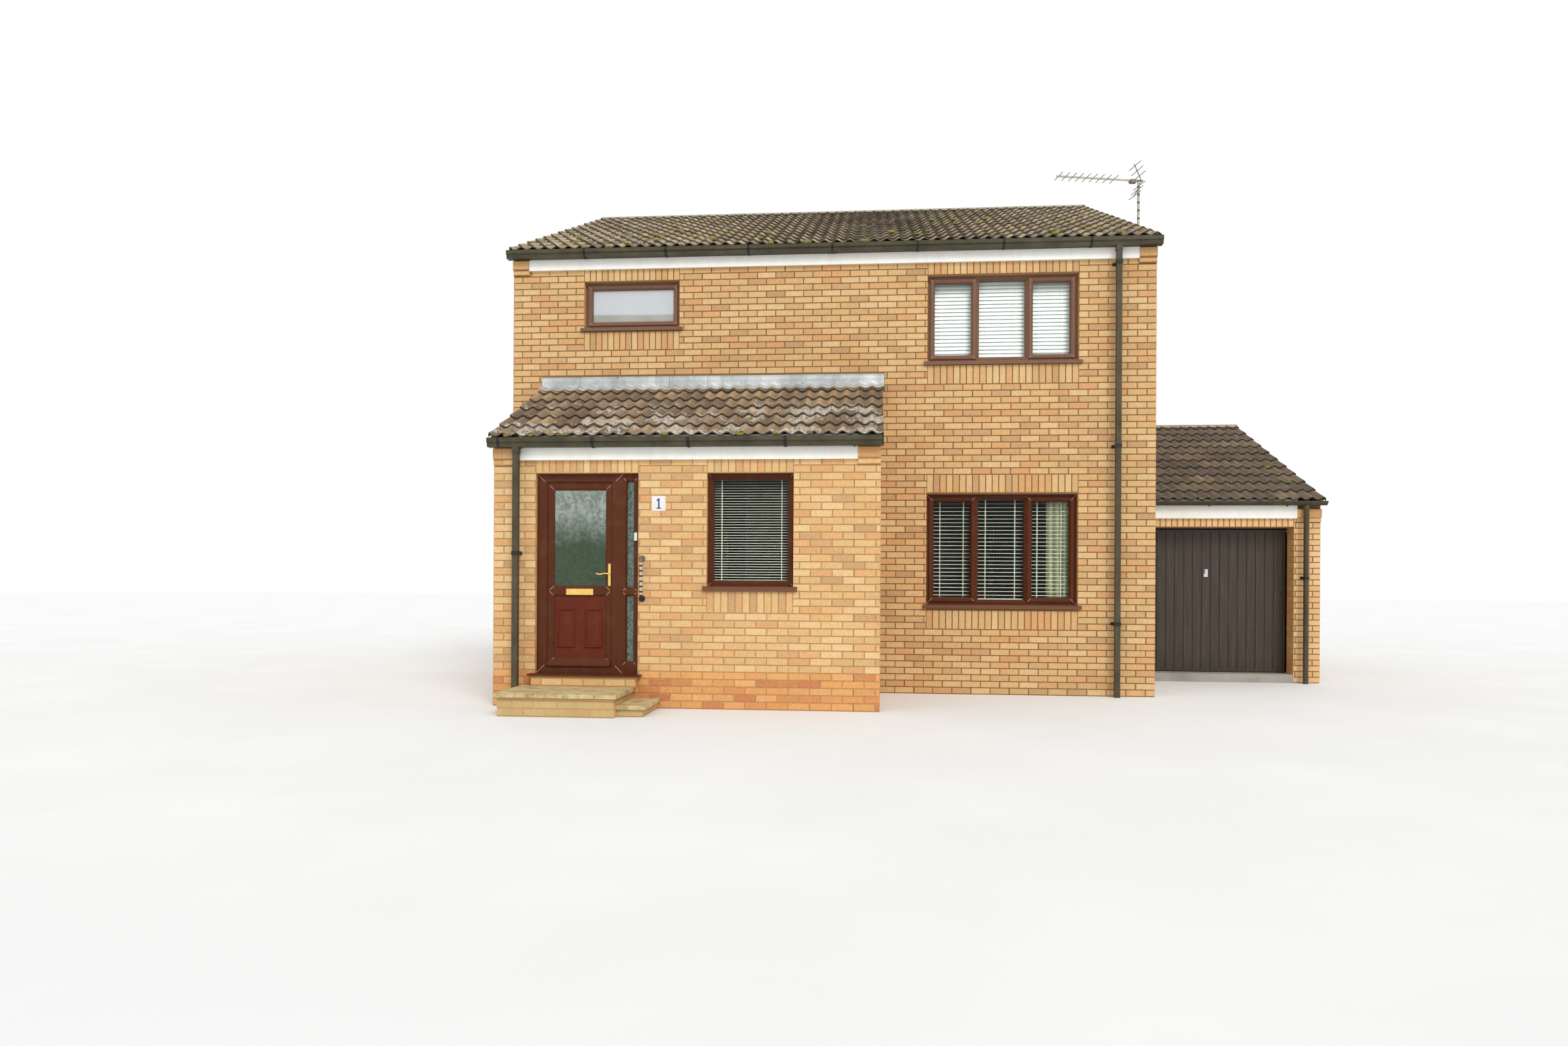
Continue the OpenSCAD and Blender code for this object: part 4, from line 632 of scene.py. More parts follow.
def rail_finish():
    """Pale grip with dark ribs, between ends painted dark as the shade at their elbows."""
    f = Finish("rail_grip")
    # Painted shade: both ends are darkened for the shade at their elbows, the top end a little less.
    top = f.above(f.z, 1.512)
    band = f.near(f.math("FRACT", f.math("DIVIDE", f.minus(f.z, 1.184), 0.054)), 0.5, 0.14)
    dark = f.either(band, f.below(f.z, 1.18), top)
    worn = f.noise(60)
    f.colour = f.mix(dark, f.mix(worn, (206, 190, 170), (180, 164, 144)), (42, 33, 24))
    f.paint(top, f.mix(worn, (122, 110, 92), (96, 86, 72)))
    return f.done(0.55, f.minus(f.noise(200), f.times(dark, 2.0)), 0.3, 0.001)


def cloth_finish():
    f = Finish("curtain_cloth")
    weave = f.times(f.math("SINE", f.times(f.x, 2600)), f.math("SINE", f.times(f.z, 2600)))
    cloud = f.noise(5, 4, 0.6)
    f.colour = f.fade(cloud, 0.35, 0.7, (214, 220, 182), (234, 240, 204))
    # Painted shade in the hollows of the folds.
    f.paint(f.named("fold"), (120, 122, 90))
    return f.done(0.9, f.plus(weave, cloud), 0.25, 0.0006, sheen=0.3)


def moss_finish():
    f = Finish("moss")
    f.colour = f.ramp(f.noise(60, 5, 0.75), (0.3, (74, 78, 30)), (0.5, (118, 118, 46)), (0.7, (160, 152, 72)))
    return f.done(0.95, f.noise(260, 4, 0.75), 0.9, 0.006)


brick = brick_finish()
main_tile = tile_finish("weathered_pantiles",
                        ((112, 92, 66), (148, 125, 92), (172, 148, 110), (196, 171, 130)),
                        0.8, 0.38, 0.12)
porch_tile = tile_finish("lichen_pantiles", ((106, 82, 56), (138, 110, 78), (158, 129, 92), (178, 147, 106)),
                         0.96, 0.14, 0.1, (3.22, 3.64))
dark_tile = tile_finish("dark_pantiles", ((66, 50, 34), (90, 70, 48), (108, 86, 60), (128, 104, 74)),
                        0.48, 0.26, 0.34)
ridge = ridge_finish()
blind_white = blind_finish()
lead = lead_finish()
cloth = cloth_finish()
moss = moss_finish()
# Painted highlight: the pale mitre lines stand for the shine in the grooves of the joints.
mitre_painted_highlight = plastic_finish("mitre_joint_highlight", (168, 116, 96), (184, 130, 108), 0.45, (120, 84, 70), 0.3, 40)

FINISHES = (
    (wall_finish(),
     "front_wall rear_wall left_gable_wall right_gable_wall porch_side_walls porch_door_pier "
     "porch_window_wall porch_front_head garage_piers garage_front_head garage_side_wall garage_rear_wall "
     "step_brickwork"),
    (concrete_finish("floor_screed", (70, 62, 52), (90, 81, 69)), "ground_floor"),
    (concrete_finish("floor_concrete", (140, 136, 128), (168, 163, 154)), "garage_floor"),
    (board_finish(), "upper_floor"),
    (main_tile, "main_roof_front main_roof_rear"),
    (porch_tile, "porch_roof"),
    (dark_tile, "garage_roof"),
    (ridge, "ridge_tiles"),
    (lead, "porch_flashing"),
    (plastic_finish("white_board", (242, 241, 235), (235, 233, 226), 0.42, (190, 184, 170), 0.2),
     "fascia_boards"),
    (gutter_finish(), "main_gutters porch_gutter garage_gutters"),
    (pipe_finish(), "square_downpipes garage_downpipe"),
    (grain_finish("brown_woodgrain", (100, 70, 54), (130, 97, 77), 0.42),
     "upper_left_window upper_right_window rear_windows"),
    (grain_finish("red_woodgrain", (63, 29, 11), (92, 46, 22), 0.4),
     "lower_right_window porch_window door_frame front_door_leaf"),
    (window_glass_finish(), "window_glass"),
    (door_glass_finish(), "front_door_glass"),
    (blind_white, "window_blinds"),
    (cloth, "window_curtain"),
    (metal_finish("brass", (236, 194, 104), (246, 210, 128), 0.3, 0.9), "door_fittings"),
    (metal_finish("plated_handle", (206, 208, 210), (224, 226, 228), 0.2, 1.0), "garage_door_handle"),
    (plastic_finish("plate_white", (226, 225, 222), (218, 217, 212), 0.35, (190, 188, 182), 0.15),
     "house_number_plate doorbell"),
    (rail_finish(), "grab_rail"),
    (slab_finish(), "step_slabs"),
    (plastic_finish("black_steel", (30, 29, 28), (44, 42, 40), 0.45, (88, 82, 74), 0.3, 12),
     "garage_door_frame"),
    (door_panel_finish(), "garage_door_panel"),
    (plastic_finish("nylon", (214, 212, 204), (196, 193, 184), 0.45, (120, 114, 104), 0.4, 40),
     "garage_door_rollers"),
    (aerial_finish(), "aerial"),
)
for finish, names in FINISHES:
    for name in names.split():
        nodes[name].data.materials.clear()
        nodes[name].data.materials.append(finish)


def piece(name, points, faces, finish, body="house", replaced=(), smooth=False, numbers=None):
    """A new mesh piece that rides on a body. numbers holds one list of values a face for each attribute."""
    mesh = bpy.data.meshes.new(name)
    mesh.from_pydata(points, [], faces)
    mesh.update()
    for key, values in (numbers or {}).items():
        mesh.attributes.new(key, "FLOAT", "FACE").data.foreach_set("value", values)
    mesh.materials.append(finish)
    if smooth:
        mesh.polygons.foreach_set("use_smooth", [True] * len(mesh.polygons))
    made = place_object(name, mesh)
    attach(made, body)
    if replaced:
        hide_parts(*replaced)
    return made


def grid(start, rows, across):
    """Quads over rows of points that begin at start, with across quads in each row."""
    for row in range(rows):
        for i in range(across):
            p = start + row * (across + 1) + i
            yield (p, p + 1, p + across + 2, p + across + 1)


def loft(points, faces, place, x0, x1, section):
    """A solid with the same section (y, z) from x0 to x1."""
    start = len(points)
    n = len(section)
    points += [place(x, y, z) for x in (x0, x1) for y, z in section]
    faces += [(start + i, start + (i + 1) % n, start + n + (i + 1) % n, start + n + i) for i in range(n)]
    faces.append([start + i for i in range(n)][::-1])
    faces.append([start + n + i for i in range(n)])


# Brick faces
RELIEF = 0.0042
BEVEL = 0.0022
JOINT = 0.010
DAMP = 0.32
SKY = 9
PORCH_JOIN = 3.66
GARAGE_JOIN = 2.3
LEAD_TOP = 3.801
LEAD_AREA = (0.357, 4.542, 3.60, LEAD_TOP + 0.003)


def courses(n):
    """Height of a course, counted from the sills of the upper windows."""
    return COURSE_START + (n + 31) * COURSE


def bands(span, *firsts):
    """Soldier bands three courses high. The one at course 0 starts a little higher."""
    return [(*span, courses(n) + (0.0 if n else 0.012), courses(n + 3)) for n in firsts]


class Bricks:
    """Gathers brick faces, each a thin plate with sloping edges, into one mesh."""

    def __init__(self, seed):
        self.points = []
        self.faces = []
        self.tint = []
        self.tone = []
        self.pick = random.Random(seed)

    def plate(self, corner, out, low, high, z0, z1, tint, tone):
        """low and high are the ends at the bottom and at the top of the brick."""
        start = len(self.points)
        for depth, inset in ((-0.001, 0.0), (RELIEF, BEVEL)):
            for u, z in ((low[0] + inset, z0 + inset), (low[1] - inset, z0 + inset),
                         (high[1] - inset, z1 - inset), (high[0] + inset, z1 - inset)):
                x, y, zz = corner(u, z)
                self.points.append((x + out[0] * depth, y + out[1] * depth, zz))
        for quad in ((4, 5, 6, 7), (0, 1, 5, 4), (1, 2, 6, 5), (2, 3, 7, 6), (3, 0, 4, 7)):
            self.faces.append([start + i for i in quad])
            self.tint.append(tint)
            self.tone.append(tone)

    def cut(self, boxes, holes):
        """Takes each hole out of a list of boxes (u0, u1, z0, z1)."""
        for u0, u1, z0, z1 in holes:
            left = []
            for a, b, low, high in boxes:
                if u0 >= b or u1 <= a or z0 >= high or z1 <= low:
                    left.append((a, b, low, high))
                    continue
                mid0, mid1 = max(a, u0), min(b, u1)
                rest = ((a, u0, low, high), (u1, b, low, high), (mid0, mid1, low, z0), (mid0, mid1, z1, high))
                left += [box for box in rest if box[0] < box[1] and box[2] < box[3]]
            boxes = left
        return boxes

    def face(self, place, x0, y0, out, width, z1, z0=0, holes=(), soldiers=(), slope=None, shift=0.0,
             warm=None):
        """Stretcher bond on a wall face that starts at x0, y0 and looks out, with upright bricks in the
        soldier bands. slope gives the limits (left, right) of the face at a height."""
        side = abs(out[0])

        def corner(u, z):
            return place(x0 + u * (1 - side), y0 + u * side, z)

        def ends(z):
            return slope(z) if slope else (0.0, width)
        a, b = corner(0, 0), corner(1, 0)
        turned = (b[1] - a[1]) * out[0] <= (b[0] - a[0]) * out[1]
        first = len(self.faces)
        half = JOINT / 2
        for left, right, low_z, high_z in soldiers:
            count = max(1, round((right - left) / SOLDIER))
            wide = (right - left) / count
            for i in range(count):
                upright = (left + i * wide + half, left + (i + 1) * wide - half, low_z + half, high_z - half)
                for b in self.cut([upright], holes):
                    if b[1] - b[0] > 0.02 and b[3] - b[2] > 0.02:
                        self.plate(corner, out, b[:2], b[:2], b[2], b[3], self.pick.random(),
                                   self.warmth(b[2], warm))
        n = math.floor((z0 - COURSE_START) / COURSE)
        while COURSE_START + n * COURSE < z1:
            low_z = max(z0, COURSE_START + n * COURSE) + half
            high_z = min(z1, COURSE_START + (n + 1) * COURSE) - half
            if high_z - low_z > 0.012:
                low_ends = ends(low_z)
                high_ends = ends(high_z)
                u = shift + (n % 2) * BRICK / 2 - BRICK
                while u < width:
                    drift = self.pick.uniform(-0.002, 0.002)
                    box = (u + half + drift, u + BRICK - half + drift, low_z, high_z)
                    tint = self.pick.random()
                    tone = self.warmth(low_z, warm)
                    for b in self.cut([box], [*holes, *soldiers]):
                        low = (max(b[0], low_ends[0]), min(b[1], low_ends[1]))
                        high = (max(b[0], high_ends[0]), min(b[1], high_ends[1]))
                        if low[1] - low[0] > 0.014 and b[3] - b[2] > 0.012 and high[1] - high[0] > 0.006:
                            self.plate(corner, out, low, high, b[2], b[3], tint, tone)
                    u += BRICK
            n += 1
        if turned:
            for quad in self.faces[first:]:
                quad.reverse()
        return self

    def warmth(self, z, warm):
        return self.pick.uniform(0.75, 1.0) if warm is not None and z < warm else 0.0

    def make(self, name):
        piece(name, self.points, self.faces, brick,
              numbers={"tint": self.tint, "tone": self.tone})


def under_roof(y, roof):
    eaves, pitch = roof
    return eaves - TILE_LAP + (y + EAVES_OVER) * math.tan(pitch) - ROOF_T / math.cos(pitch)


def roof_ends(width, roof, lean=False):
    """The limits of a gable face at a height. The face of a lean-to is upright at its far end."""
    def ends(z):
        run = max(0.0, (z - under_roof(0, roof)) / math.tan(roof[1]) + 0.004)
        return (run, width if lean else width - run)
    return ends


def kneeler(x0, x1, eaves):
    return (x0, x1, eaves - KNEELER_DROP, SKY)


main_top = under_roof(0, ROOF)
gable_top = under_roof(HALF_D, ROOF)
garage_top = under_roof(0, GARAGE_ROOF)
gable = roof_ends(HOUSE_D, ROOF)
kneelers = [kneeler(-0.01, KNEELER_W, EAVES), kneeler(HOUSE_W - KNEELER_W, HOUSE_W + 0.01, EAVES)]

Bricks(1).face(
    at, 0, 0, (0, -1), HOUSE_W, main_top,
    holes=[UPPER_WIDE, LOWER_WIDE, *kneelers, UPPER_SMALL, (PORCH_X, PORCH_X + PORCH_W, 0, PORCH_JOIN),
           LEAD_AREA],
    soldiers=bands(WIDE, 34) + bands(SMALL, 34, 23) + bands(WIDE, 17, 0, -21)).make("front_brick_faces")
Bricks(2).face(
    at_rear, 0, 0, (0, 1), HOUSE_W, main_top, holes=REAR_WINDOWS + kneelers,
    soldiers=bands(REAR[0], 34, 17, 0, -21) + bands(REAR[1], 34, 17, 0, -21)).make("rear_brick_faces")
Bricks(3).face(at, 0, 0, (-1, 0), HOUSE_D, gable_top, slope=gable).make("left_gable_brick_faces")
Bricks(4).face(
    at, HOUSE_W, 0, (1, 0), HOUSE_D, gable_top, slope=gable,
    holes=[(GARAGE_Y, GARAGE_Y + PIER_D, 0, GARAGE_JOIN), (HOUSE_D - GARAGE_WALL_T, HOUSE_D, 0, GARAGE_JOIN)],
).make("right_gable_brick_faces")

porch = Bricks(5)
porch.face(at_porch, 0, 0, (0, -1), PORCH_W, under_roof(0, PORCH_ROOF), warm=DAMP,
           holes=[(*DOOR, 0.331, PORCH_HEAD), PORCH_OPENING, kneeler(-0.01, PORCH_KNEELER_L, PORCH_EAVES),
                  kneeler(PORCH_W - PORCH_KNEELER_R, PORCH_W + 0.01, PORCH_EAVES)],
           soldiers=bands(DOOR, 1) + bands(PORCH_WINDOW, 1, -18))
for x, out in ((0.0, (-1, 0)), (PORCH_W, (1, 0))):
    porch.face(at_porch, x, 0, out, PORCH_D, under_roof(PORCH_D, PORCH_ROOF), warm=DAMP,
               slope=roof_ends(PORCH_D, PORCH_ROOF, lean=True))
porch.make("porch_brick_faces")

garage = Bricks(6)
garage.face(at_garage, 0, 0, (0, -1), GARAGE_W, garage_top,
            holes=[(*GARAGE_DOOR, 0, GARAGE_HEAD),
                   kneeler(GARAGE_W - GARAGE_KNEELER, GARAGE_W + 0.01, GARAGE_EAVES)],
            soldiers=[(*GARAGE_DOOR, GARAGE_HEAD, GARAGE_HEAD + 0.229)])
garage.face(at_garage, GARAGE_W, 0, (1, 0), GARAGE_D, under_roof(GARAGE_D / 2, GARAGE_ROOF),
            slope=roof_ends(GARAGE_D, GARAGE_ROOF))
garage.face(at, GARAGE_X, HOUSE_D, (0, 1), GARAGE_W, garage_top)
garage.make("garage_brick_faces")

# Kneelers, steps and the doorstep's front
trim = Bricks(7)
for place, x0, out, width, eaves in (
        (at, 0, -1, KNEELER_W, EAVES), (at, HOUSE_W - KNEELER_W, -1, KNEELER_W, EAVES),
        (at_rear, 0, 1, KNEELER_W, EAVES), (at_rear, HOUSE_W - KNEELER_W, 1, KNEELER_W, EAVES),
        (at_porch, 0, -1, PORCH_KNEELER_L, PORCH_EAVES),
        (at_porch, PORCH_W - PORCH_KNEELER_R, -1, PORCH_KNEELER_R, PORCH_EAVES),
        (at_garage, GARAGE_W - GARAGE_KNEELER, -1, GARAGE_KNEELER, GARAGE_EAVES)):
    low = eaves - FASCIA_DROP - KNEELER_FOOT
    for step, z0, z1 in ((KNEELER_STEP, low, low + 0.062),
                         (2 * KNEELER_STEP, low + 0.062, eaves - GUTTER_DROP - GUTTER_H - 0.005)):
        def moved(u, z, place=place, x0=x0, push=out * step):
            x, y, zz = place(x0 + u, 0, z)
            return (x, y + push, zz)
        for u0, u1 in ([(0.0, width)] if width < 0.25 else [(0.0, 0.102), (0.112, width)]):
            span = (u0 + 0.001, u1 - 0.001)
            trim.plate(moved, (0, out), span, span, z0 + 0.006, z1 - 0.004, trim.pick.random(), 0.25)
for x, y, out, width, z1, settings in (
        (0.340, STEP_Y + 0.032, (0, -1), 1.156, 0.184, {"shift": 0.04}),
        (0.340, STEP_Y + 0.032, (-1, 0), 0.775, 0.184, {}),
        (1.496, STEP_Y + 0.032, (1, 0), 0.775, 0.184, {"z0": 0.11}),
        (1.496, STEP_Y + 0.142, (0, -1), 0.260, 0.072, {}),
        (1.756, STEP_Y + 0.142, (1, 0), 0.665, 0.072, {}),
        (DOOR[0] - 0.008, -0.105, (0, -1), 1.103, 0.322, {"z0": 0.231})):
    trim.face(at_porch, x, y, out, width, z1, **settings)
trim.make("trim_brick_faces")


# Pantiles
WAVE = 0.148
COVER = 2 * WAVE
SINK = 0.016
HIGH = 0.034
TILE_STEPS = 14
TILE_GAP = 0.0012
RIDGE_GAP = 0.06


def wave(x):
    """Height of the pantile's roll and pan across the slope."""
    roll = 0.5 + 0.5 * math.cos(2 * math.pi * ((x / WAVE) % 1.0))
    return HIGH * roll ** 1.25 - SINK


def tile_plane(y, k, roof):
    """Height of tile course k at depth y, without its wave."""
    eaves, pitch = roof
    run = TILE_GAUGE * math.cos(pitch)
    start = -EAVES_OVER + k * run
    return eaves - TILE_LAP + (y + EAVES_OVER) * math.tan(pitch) + TILE_LAP * (1 - (y - start) / run)


def pantiles(name, x0, x1, roof, top_y, place, finish, seed, replaced=()):
    """One slope of pantiles over a plain slab. place turns a point of the front slope into the frame."""
    eaves, pitch = roof
    pick = random.Random(seed)
    run = TILE_GAUGE * math.cos(pitch)
    points, faces, tints, lips, pan_shades = [], [], [], [], []

    def plane(y, k=0):
        return tile_plane(y, k, roof)

    count = math.ceil((top_y - RIDGE_GAP + EAVES_OVER) / run)
    for k in range(count):
        y0 = -EAVES_OVER + k * run
        y1 = min(y0 + run + 0.03, top_y - RIDGE_GAP)
        for column in range(math.ceil((x1 - x0) / COVER)):
            a = x0 + column * COVER + TILE_GAP
            b = min(x0 + (column + 1) * COVER - TILE_GAP, x1)
            if b - a < 0.03:
                continue
            tint = pick.random()
            lift = pick.uniform(-0.0015, 0.0015)
            nudge = pick.uniform(0.0, 0.004)
            tilt = pick.uniform(-0.0015, 0.0015)
            thick = 0.014 if k == 0 else 0.022
            rows = [(y0 + 0.004 + nudge, -thick), (y0 + nudge, -0.004), (y0 + 0.006 + nudge, 0.0), (y1, 0.0)]
            if k == 0:
                rows = [(y0 + 0.075, -thick)] + rows
            start = len(points)
            for y, drop in rows:
                for i in range(TILE_STEPS + 1):
                    x = a + (b - a) * i / TILE_STEPS
                    z = plane(y, k) + wave(x - x0) + drop + lift + tilt * i / TILE_STEPS
                    points.append(place(x, y, z))
                    pan_shades.append(1.0 - (wave(x - x0) + SINK) / HIGH)
            faces += grid(start, len(rows) - 1, TILE_STEPS)
            tints += [tint] * (len(rows) - 1) * TILE_STEPS
            lips += [1.0] * (len(rows) - 2) * TILE_STEPS + [0.0] * TILE_STEPS
    # The slab under the tiles
    top = eaves - TILE_LAP + (top_y + EAVES_OVER) * math.tan(pitch) - 0.018
    under = [(0.0, under_roof(0, roof)), (0.0, plane(0) - 0.060), (-0.036, plane(-0.036) - 0.050),
             (-0.036, plane(-0.036) - 0.040), (top_y, top), (top_y, under_roof(top_y, roof))]
    loft(points, faces, place, x0 + 0.002, x1 - 0.002, under)
    tints += [0.1] * len(under) + [0.2] * 2
    # Bedding between the slab and the tiles at each verge
    for x, step in ((x0, -1), (x1, 1)):
        for k in range(count):
            y0 = -EAVES_OVER + k * run
            y1 = min(y0 + run, top_y - RIDGE_GAP)
            low = wave(x - x0) - 0.045
            high = wave(x - x0) - 0.001
            z0, z1 = plane(y0, k), plane(y1, k)
            faces.append([len(points) + i for i in range(4)][::step])
            for y, z in ((y0 + 0.004, z0 + low), (y1, z1 + low), (y1, z1 + high), (y0 + 0.004, z0 + high)):
                points.append(place(x, y, z))
            tints.append(0.9)
    lips += [0.0] * (len(faces) - len(lips))
    pan_shades += [0.5] * (len(points) - len(pan_shades))
    made = piece(name, points, faces, finish, replaced=replaced, numbers={"tint": tints, "lip": lips})
    # The pan attribute drives the painted shade in the troughs.
    made.data.attributes.new("pan", "FLOAT", "POINT").data.foreach_set("value", pan_shades)
    made.data.polygons.foreach_set("use_smooth", [lip == 0.0 for lip in lips])
    made.data.set_sharp_from_angle(angle=math.radians(38))


for name, place, seed, replaced in (("front_pantiles", at, 11, "main_roof_front"),
                                    ("rear_pantiles", at_rear, 12, "main_roof_rear")):
    pantiles(name, -VERGE_OVER, HOUSE_W + VERGE_OVER, ROOF, HALF_D, place, main_tile, seed,
             [replaced])
pantiles("porch_pantiles", -VERGE_OVER, PORCH_W + VERGE_OVER, PORCH_ROOF, PORCH_D, at_porch, porch_tile,
         13, ["porch_roof"])
pantiles("garage_front_pantiles", 0.0, GARAGE_W + VERGE_OVER, GARAGE_ROOF, GARAGE_D / 2, at_garage, dark_tile,
         14, ["garage_roof"])
pantiles("garage_rear_pantiles", -VERGE_OVER, GARAGE_W, GARAGE_ROOF, GARAGE_D / 2, at_garage_rear, dark_tile,
         15)


def ridge_bands(name, x0, x1, half_depth, eaves, place):
    """The joints between the ridge tiles, with their bedding."""
    points, faces = [], []
    rise = math.tan(ROOF_PITCH)
    run = TILE_GAUGE * math.cos(ROOF_PITCH)
    spread = RIDGE_R * math.sin(math.radians(60))
    course = (half_depth - spread + EAVES_OVER) / run
    same = math.floor(course) == math.floor((half_depth + EAVES_OVER) / run)
    seat = (TILE_LAP * (1 + math.floor(course) - course) if same else TILE_LAP) + 0.0003
    top = eaves - TILE_LAP + (half_depth + EAVES_OVER) * rise
    centre = top + seat - RIDGE_R * math.cos(math.radians(60)) - spread * rise
    x = x0 + RIDGE_PITCH
    while x < x1 - 0.1:
        faces += grid(len(points), 3, 18)
        for px, proud in ((x - 0.009, -0.2), (x - 0.006, 1.0), (x + 0.006, 1.0), (x + 0.009, -0.2)):
            for i in range(19):
                a = math.radians(-60 + 120 * i / 18)
                r = RIDGE_R + 0.0025 * proud * min(1.0, abs(a) / 0.26)
                points.append(place(px, half_depth + r * math.sin(a), centre + r * math.cos(a)))
        x += RIDGE_PITCH
    piece(name, points, faces, ridge, smooth=True)


ridge_bands("ridge_joints", -VERGE_OVER, HOUSE_W + VERGE_OVER, HALF_D, EAVES, at)
ridge_bands("garage_ridge_joints", 0.0, GARAGE_W + VERGE_OVER, GARAGE_D / 2, GARAGE_EAVES, at_garage)


def lead_apron():
    """Lead up the wall and draped over the top of the porch tiles."""
    pick = random.Random(21)
    run = TILE_GAUGE * math.cos(PORCH_PITCH)

    def surface(x, y):
        k = math.floor((y + EAVES_OVER) / run)
        return tile_plane(y, k, PORCH_ROOF) + wave(x + VERGE_OVER)
    x0, x1 = -0.066, PORCH_W + 0.053
    count = 220
    points = []
    for i in range(count + 1):
        x = x0 + (x1 - x0) * i / count
        on = min(max(x, -VERGE_OVER), PORCH_W + VERGE_OVER)
        wobble = 0.003 * math.sin(x * 7.0) + pick.uniform(-0.001, 0.001)
        foot = surface(on, PORCH_D - 0.01) + 0.006
        line = [(PORCH_D, LEAD_TOP), (PORCH_D - 0.006, LEAD_TOP),
                (PORCH_D - 0.0065, LEAD_TOP - 0.06 + wobble), (PORCH_D - 0.007, foot + 0.03)]
        for j in range(4):
            y = PORCH_D - 0.012 - j * 0.042
            drape = surface(on, y)
            flat = drape - wave(on + VERGE_OVER) + 0.012
            line.append((y, 0.75 * drape + 0.25 * flat + 0.006))
        line.append((line[-1][0] - 0.001, line[-1][1] - 0.006))
        points += [at_porch(x, y, z) for y, z in line]
    piece("lead_apron", points, list(grid(0, count, len(line) - 1)), lead,
          replaced=["porch_flashing"], smooth=True)


def tufts():
    """Moss on the tiles."""
    pick = random.Random(31)
    mesh = bmesh.new()
    spots = [(at_porch, PORCH_ROOF, x, -0.085 + pick.uniform(-0.01, 0.03), 1.0)
             for x in (0.165, 0.42, 0.72, 0.80, 1.84, 2.62, 2.98, 3.34)]
    spots.append((at_porch, PORCH_ROOF, 2.66, 0.40, 0.8))
    for place, roof, count, far, rows, small, large in (
            (at, ROOF, 72, 7.5, [0, 1, 2, 2, 3, 4, 6, 8], 0.6, 1.5),
            (at_garage, GARAGE_ROOF, 14, 2.5, [0, 0, 1, 2, 4], 0.4, 0.9)):
        for i in range(count):
            spots.append((place, roof, pick.uniform(0.1, far), pick.choice(rows) * 0.316 - 0.085,
                          pick.uniform(small, large)))
    for place, (eaves, pitch), x, y, size in spots:
        z = eaves - TILE_LAP + (y + EAVES_OVER) * math.tan(pitch) + 0.016
        made = bmesh.ops.create_icosphere(mesh, subdivisions=2, radius=1.0)
        wide = pick.uniform(0.030, 0.055) * size
        for v in made["verts"]:
            n = 1.0 + pick.uniform(-0.16, 0.16)
            px, py, pz = v.co.x * wide * n, v.co.y * wide * 0.8 * n, v.co.z * 0.016 * size * n
            v.co = Vector(place(x + px, y + py, z + pz + py * math.tan(pitch)))
    mesh.verts.index_update()
    points = [v.co.to_tuple() for v in mesh.verts]
    faces = [[v.index for v in face.verts] for face in mesh.faces]
    mesh.free()
    piece("moss_tufts", points, faces, moss, smooth=True)


def curtain():
    """The curtain hangs in folds."""
    low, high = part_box("window_curtain")
    width = high.x - low.x
    height = high.z - low.z
    middle = (low.y + high.y) / 2
    deep = (high.y - low.y) / 2 - 0.002
    across, down, folds = 96, 24, 4

    def fold(t, s):
        swing = 0.55 + 0.45 * s
        bend = 2 * math.pi * folds * t + 0.5 * math.sin(5 * t + 2 * s)
        return (math.sin(bend) + 0.18 * math.sin(2 * bend + 1)) / 1.18 * swing
    points = []
    for j in range(down + 1):
        for i in range(across + 1):
            t, s = i / across, j / down
            points.append((low.x + width * t, middle + deep * fold(t, s), high.z - height * s))
    # Painted shade: the hollows of the folds get darker.
    shade = []
    for j in range(down):
        for i in range(across):
            depth = (fold((i + 0.5) / across, (j + 0.5) / down) + 1) / 2
            shade.append(max(0.0, min(1.0, 1.25 * depth - 0.15)))
    half_way = points[(down // 2) * (across + 1):][:across + 1]
    length = sum(math.dist(a, b) for a, b in zip(half_way, half_way[1:]))
    made = piece("folded_curtain", points, [(a, d, c, b) for a, b, c, d in grid(0, down, across)], cloth,
                 replaced=["window_curtain"], smooth=True, numbers={"fold": shade})


# Blinds
BLIND_Y = REVEAL + FRAME_D + 0.008
BLIND_MIDDLE = BLIND_Y + 0.025
CROWN_SHARE = 0.08


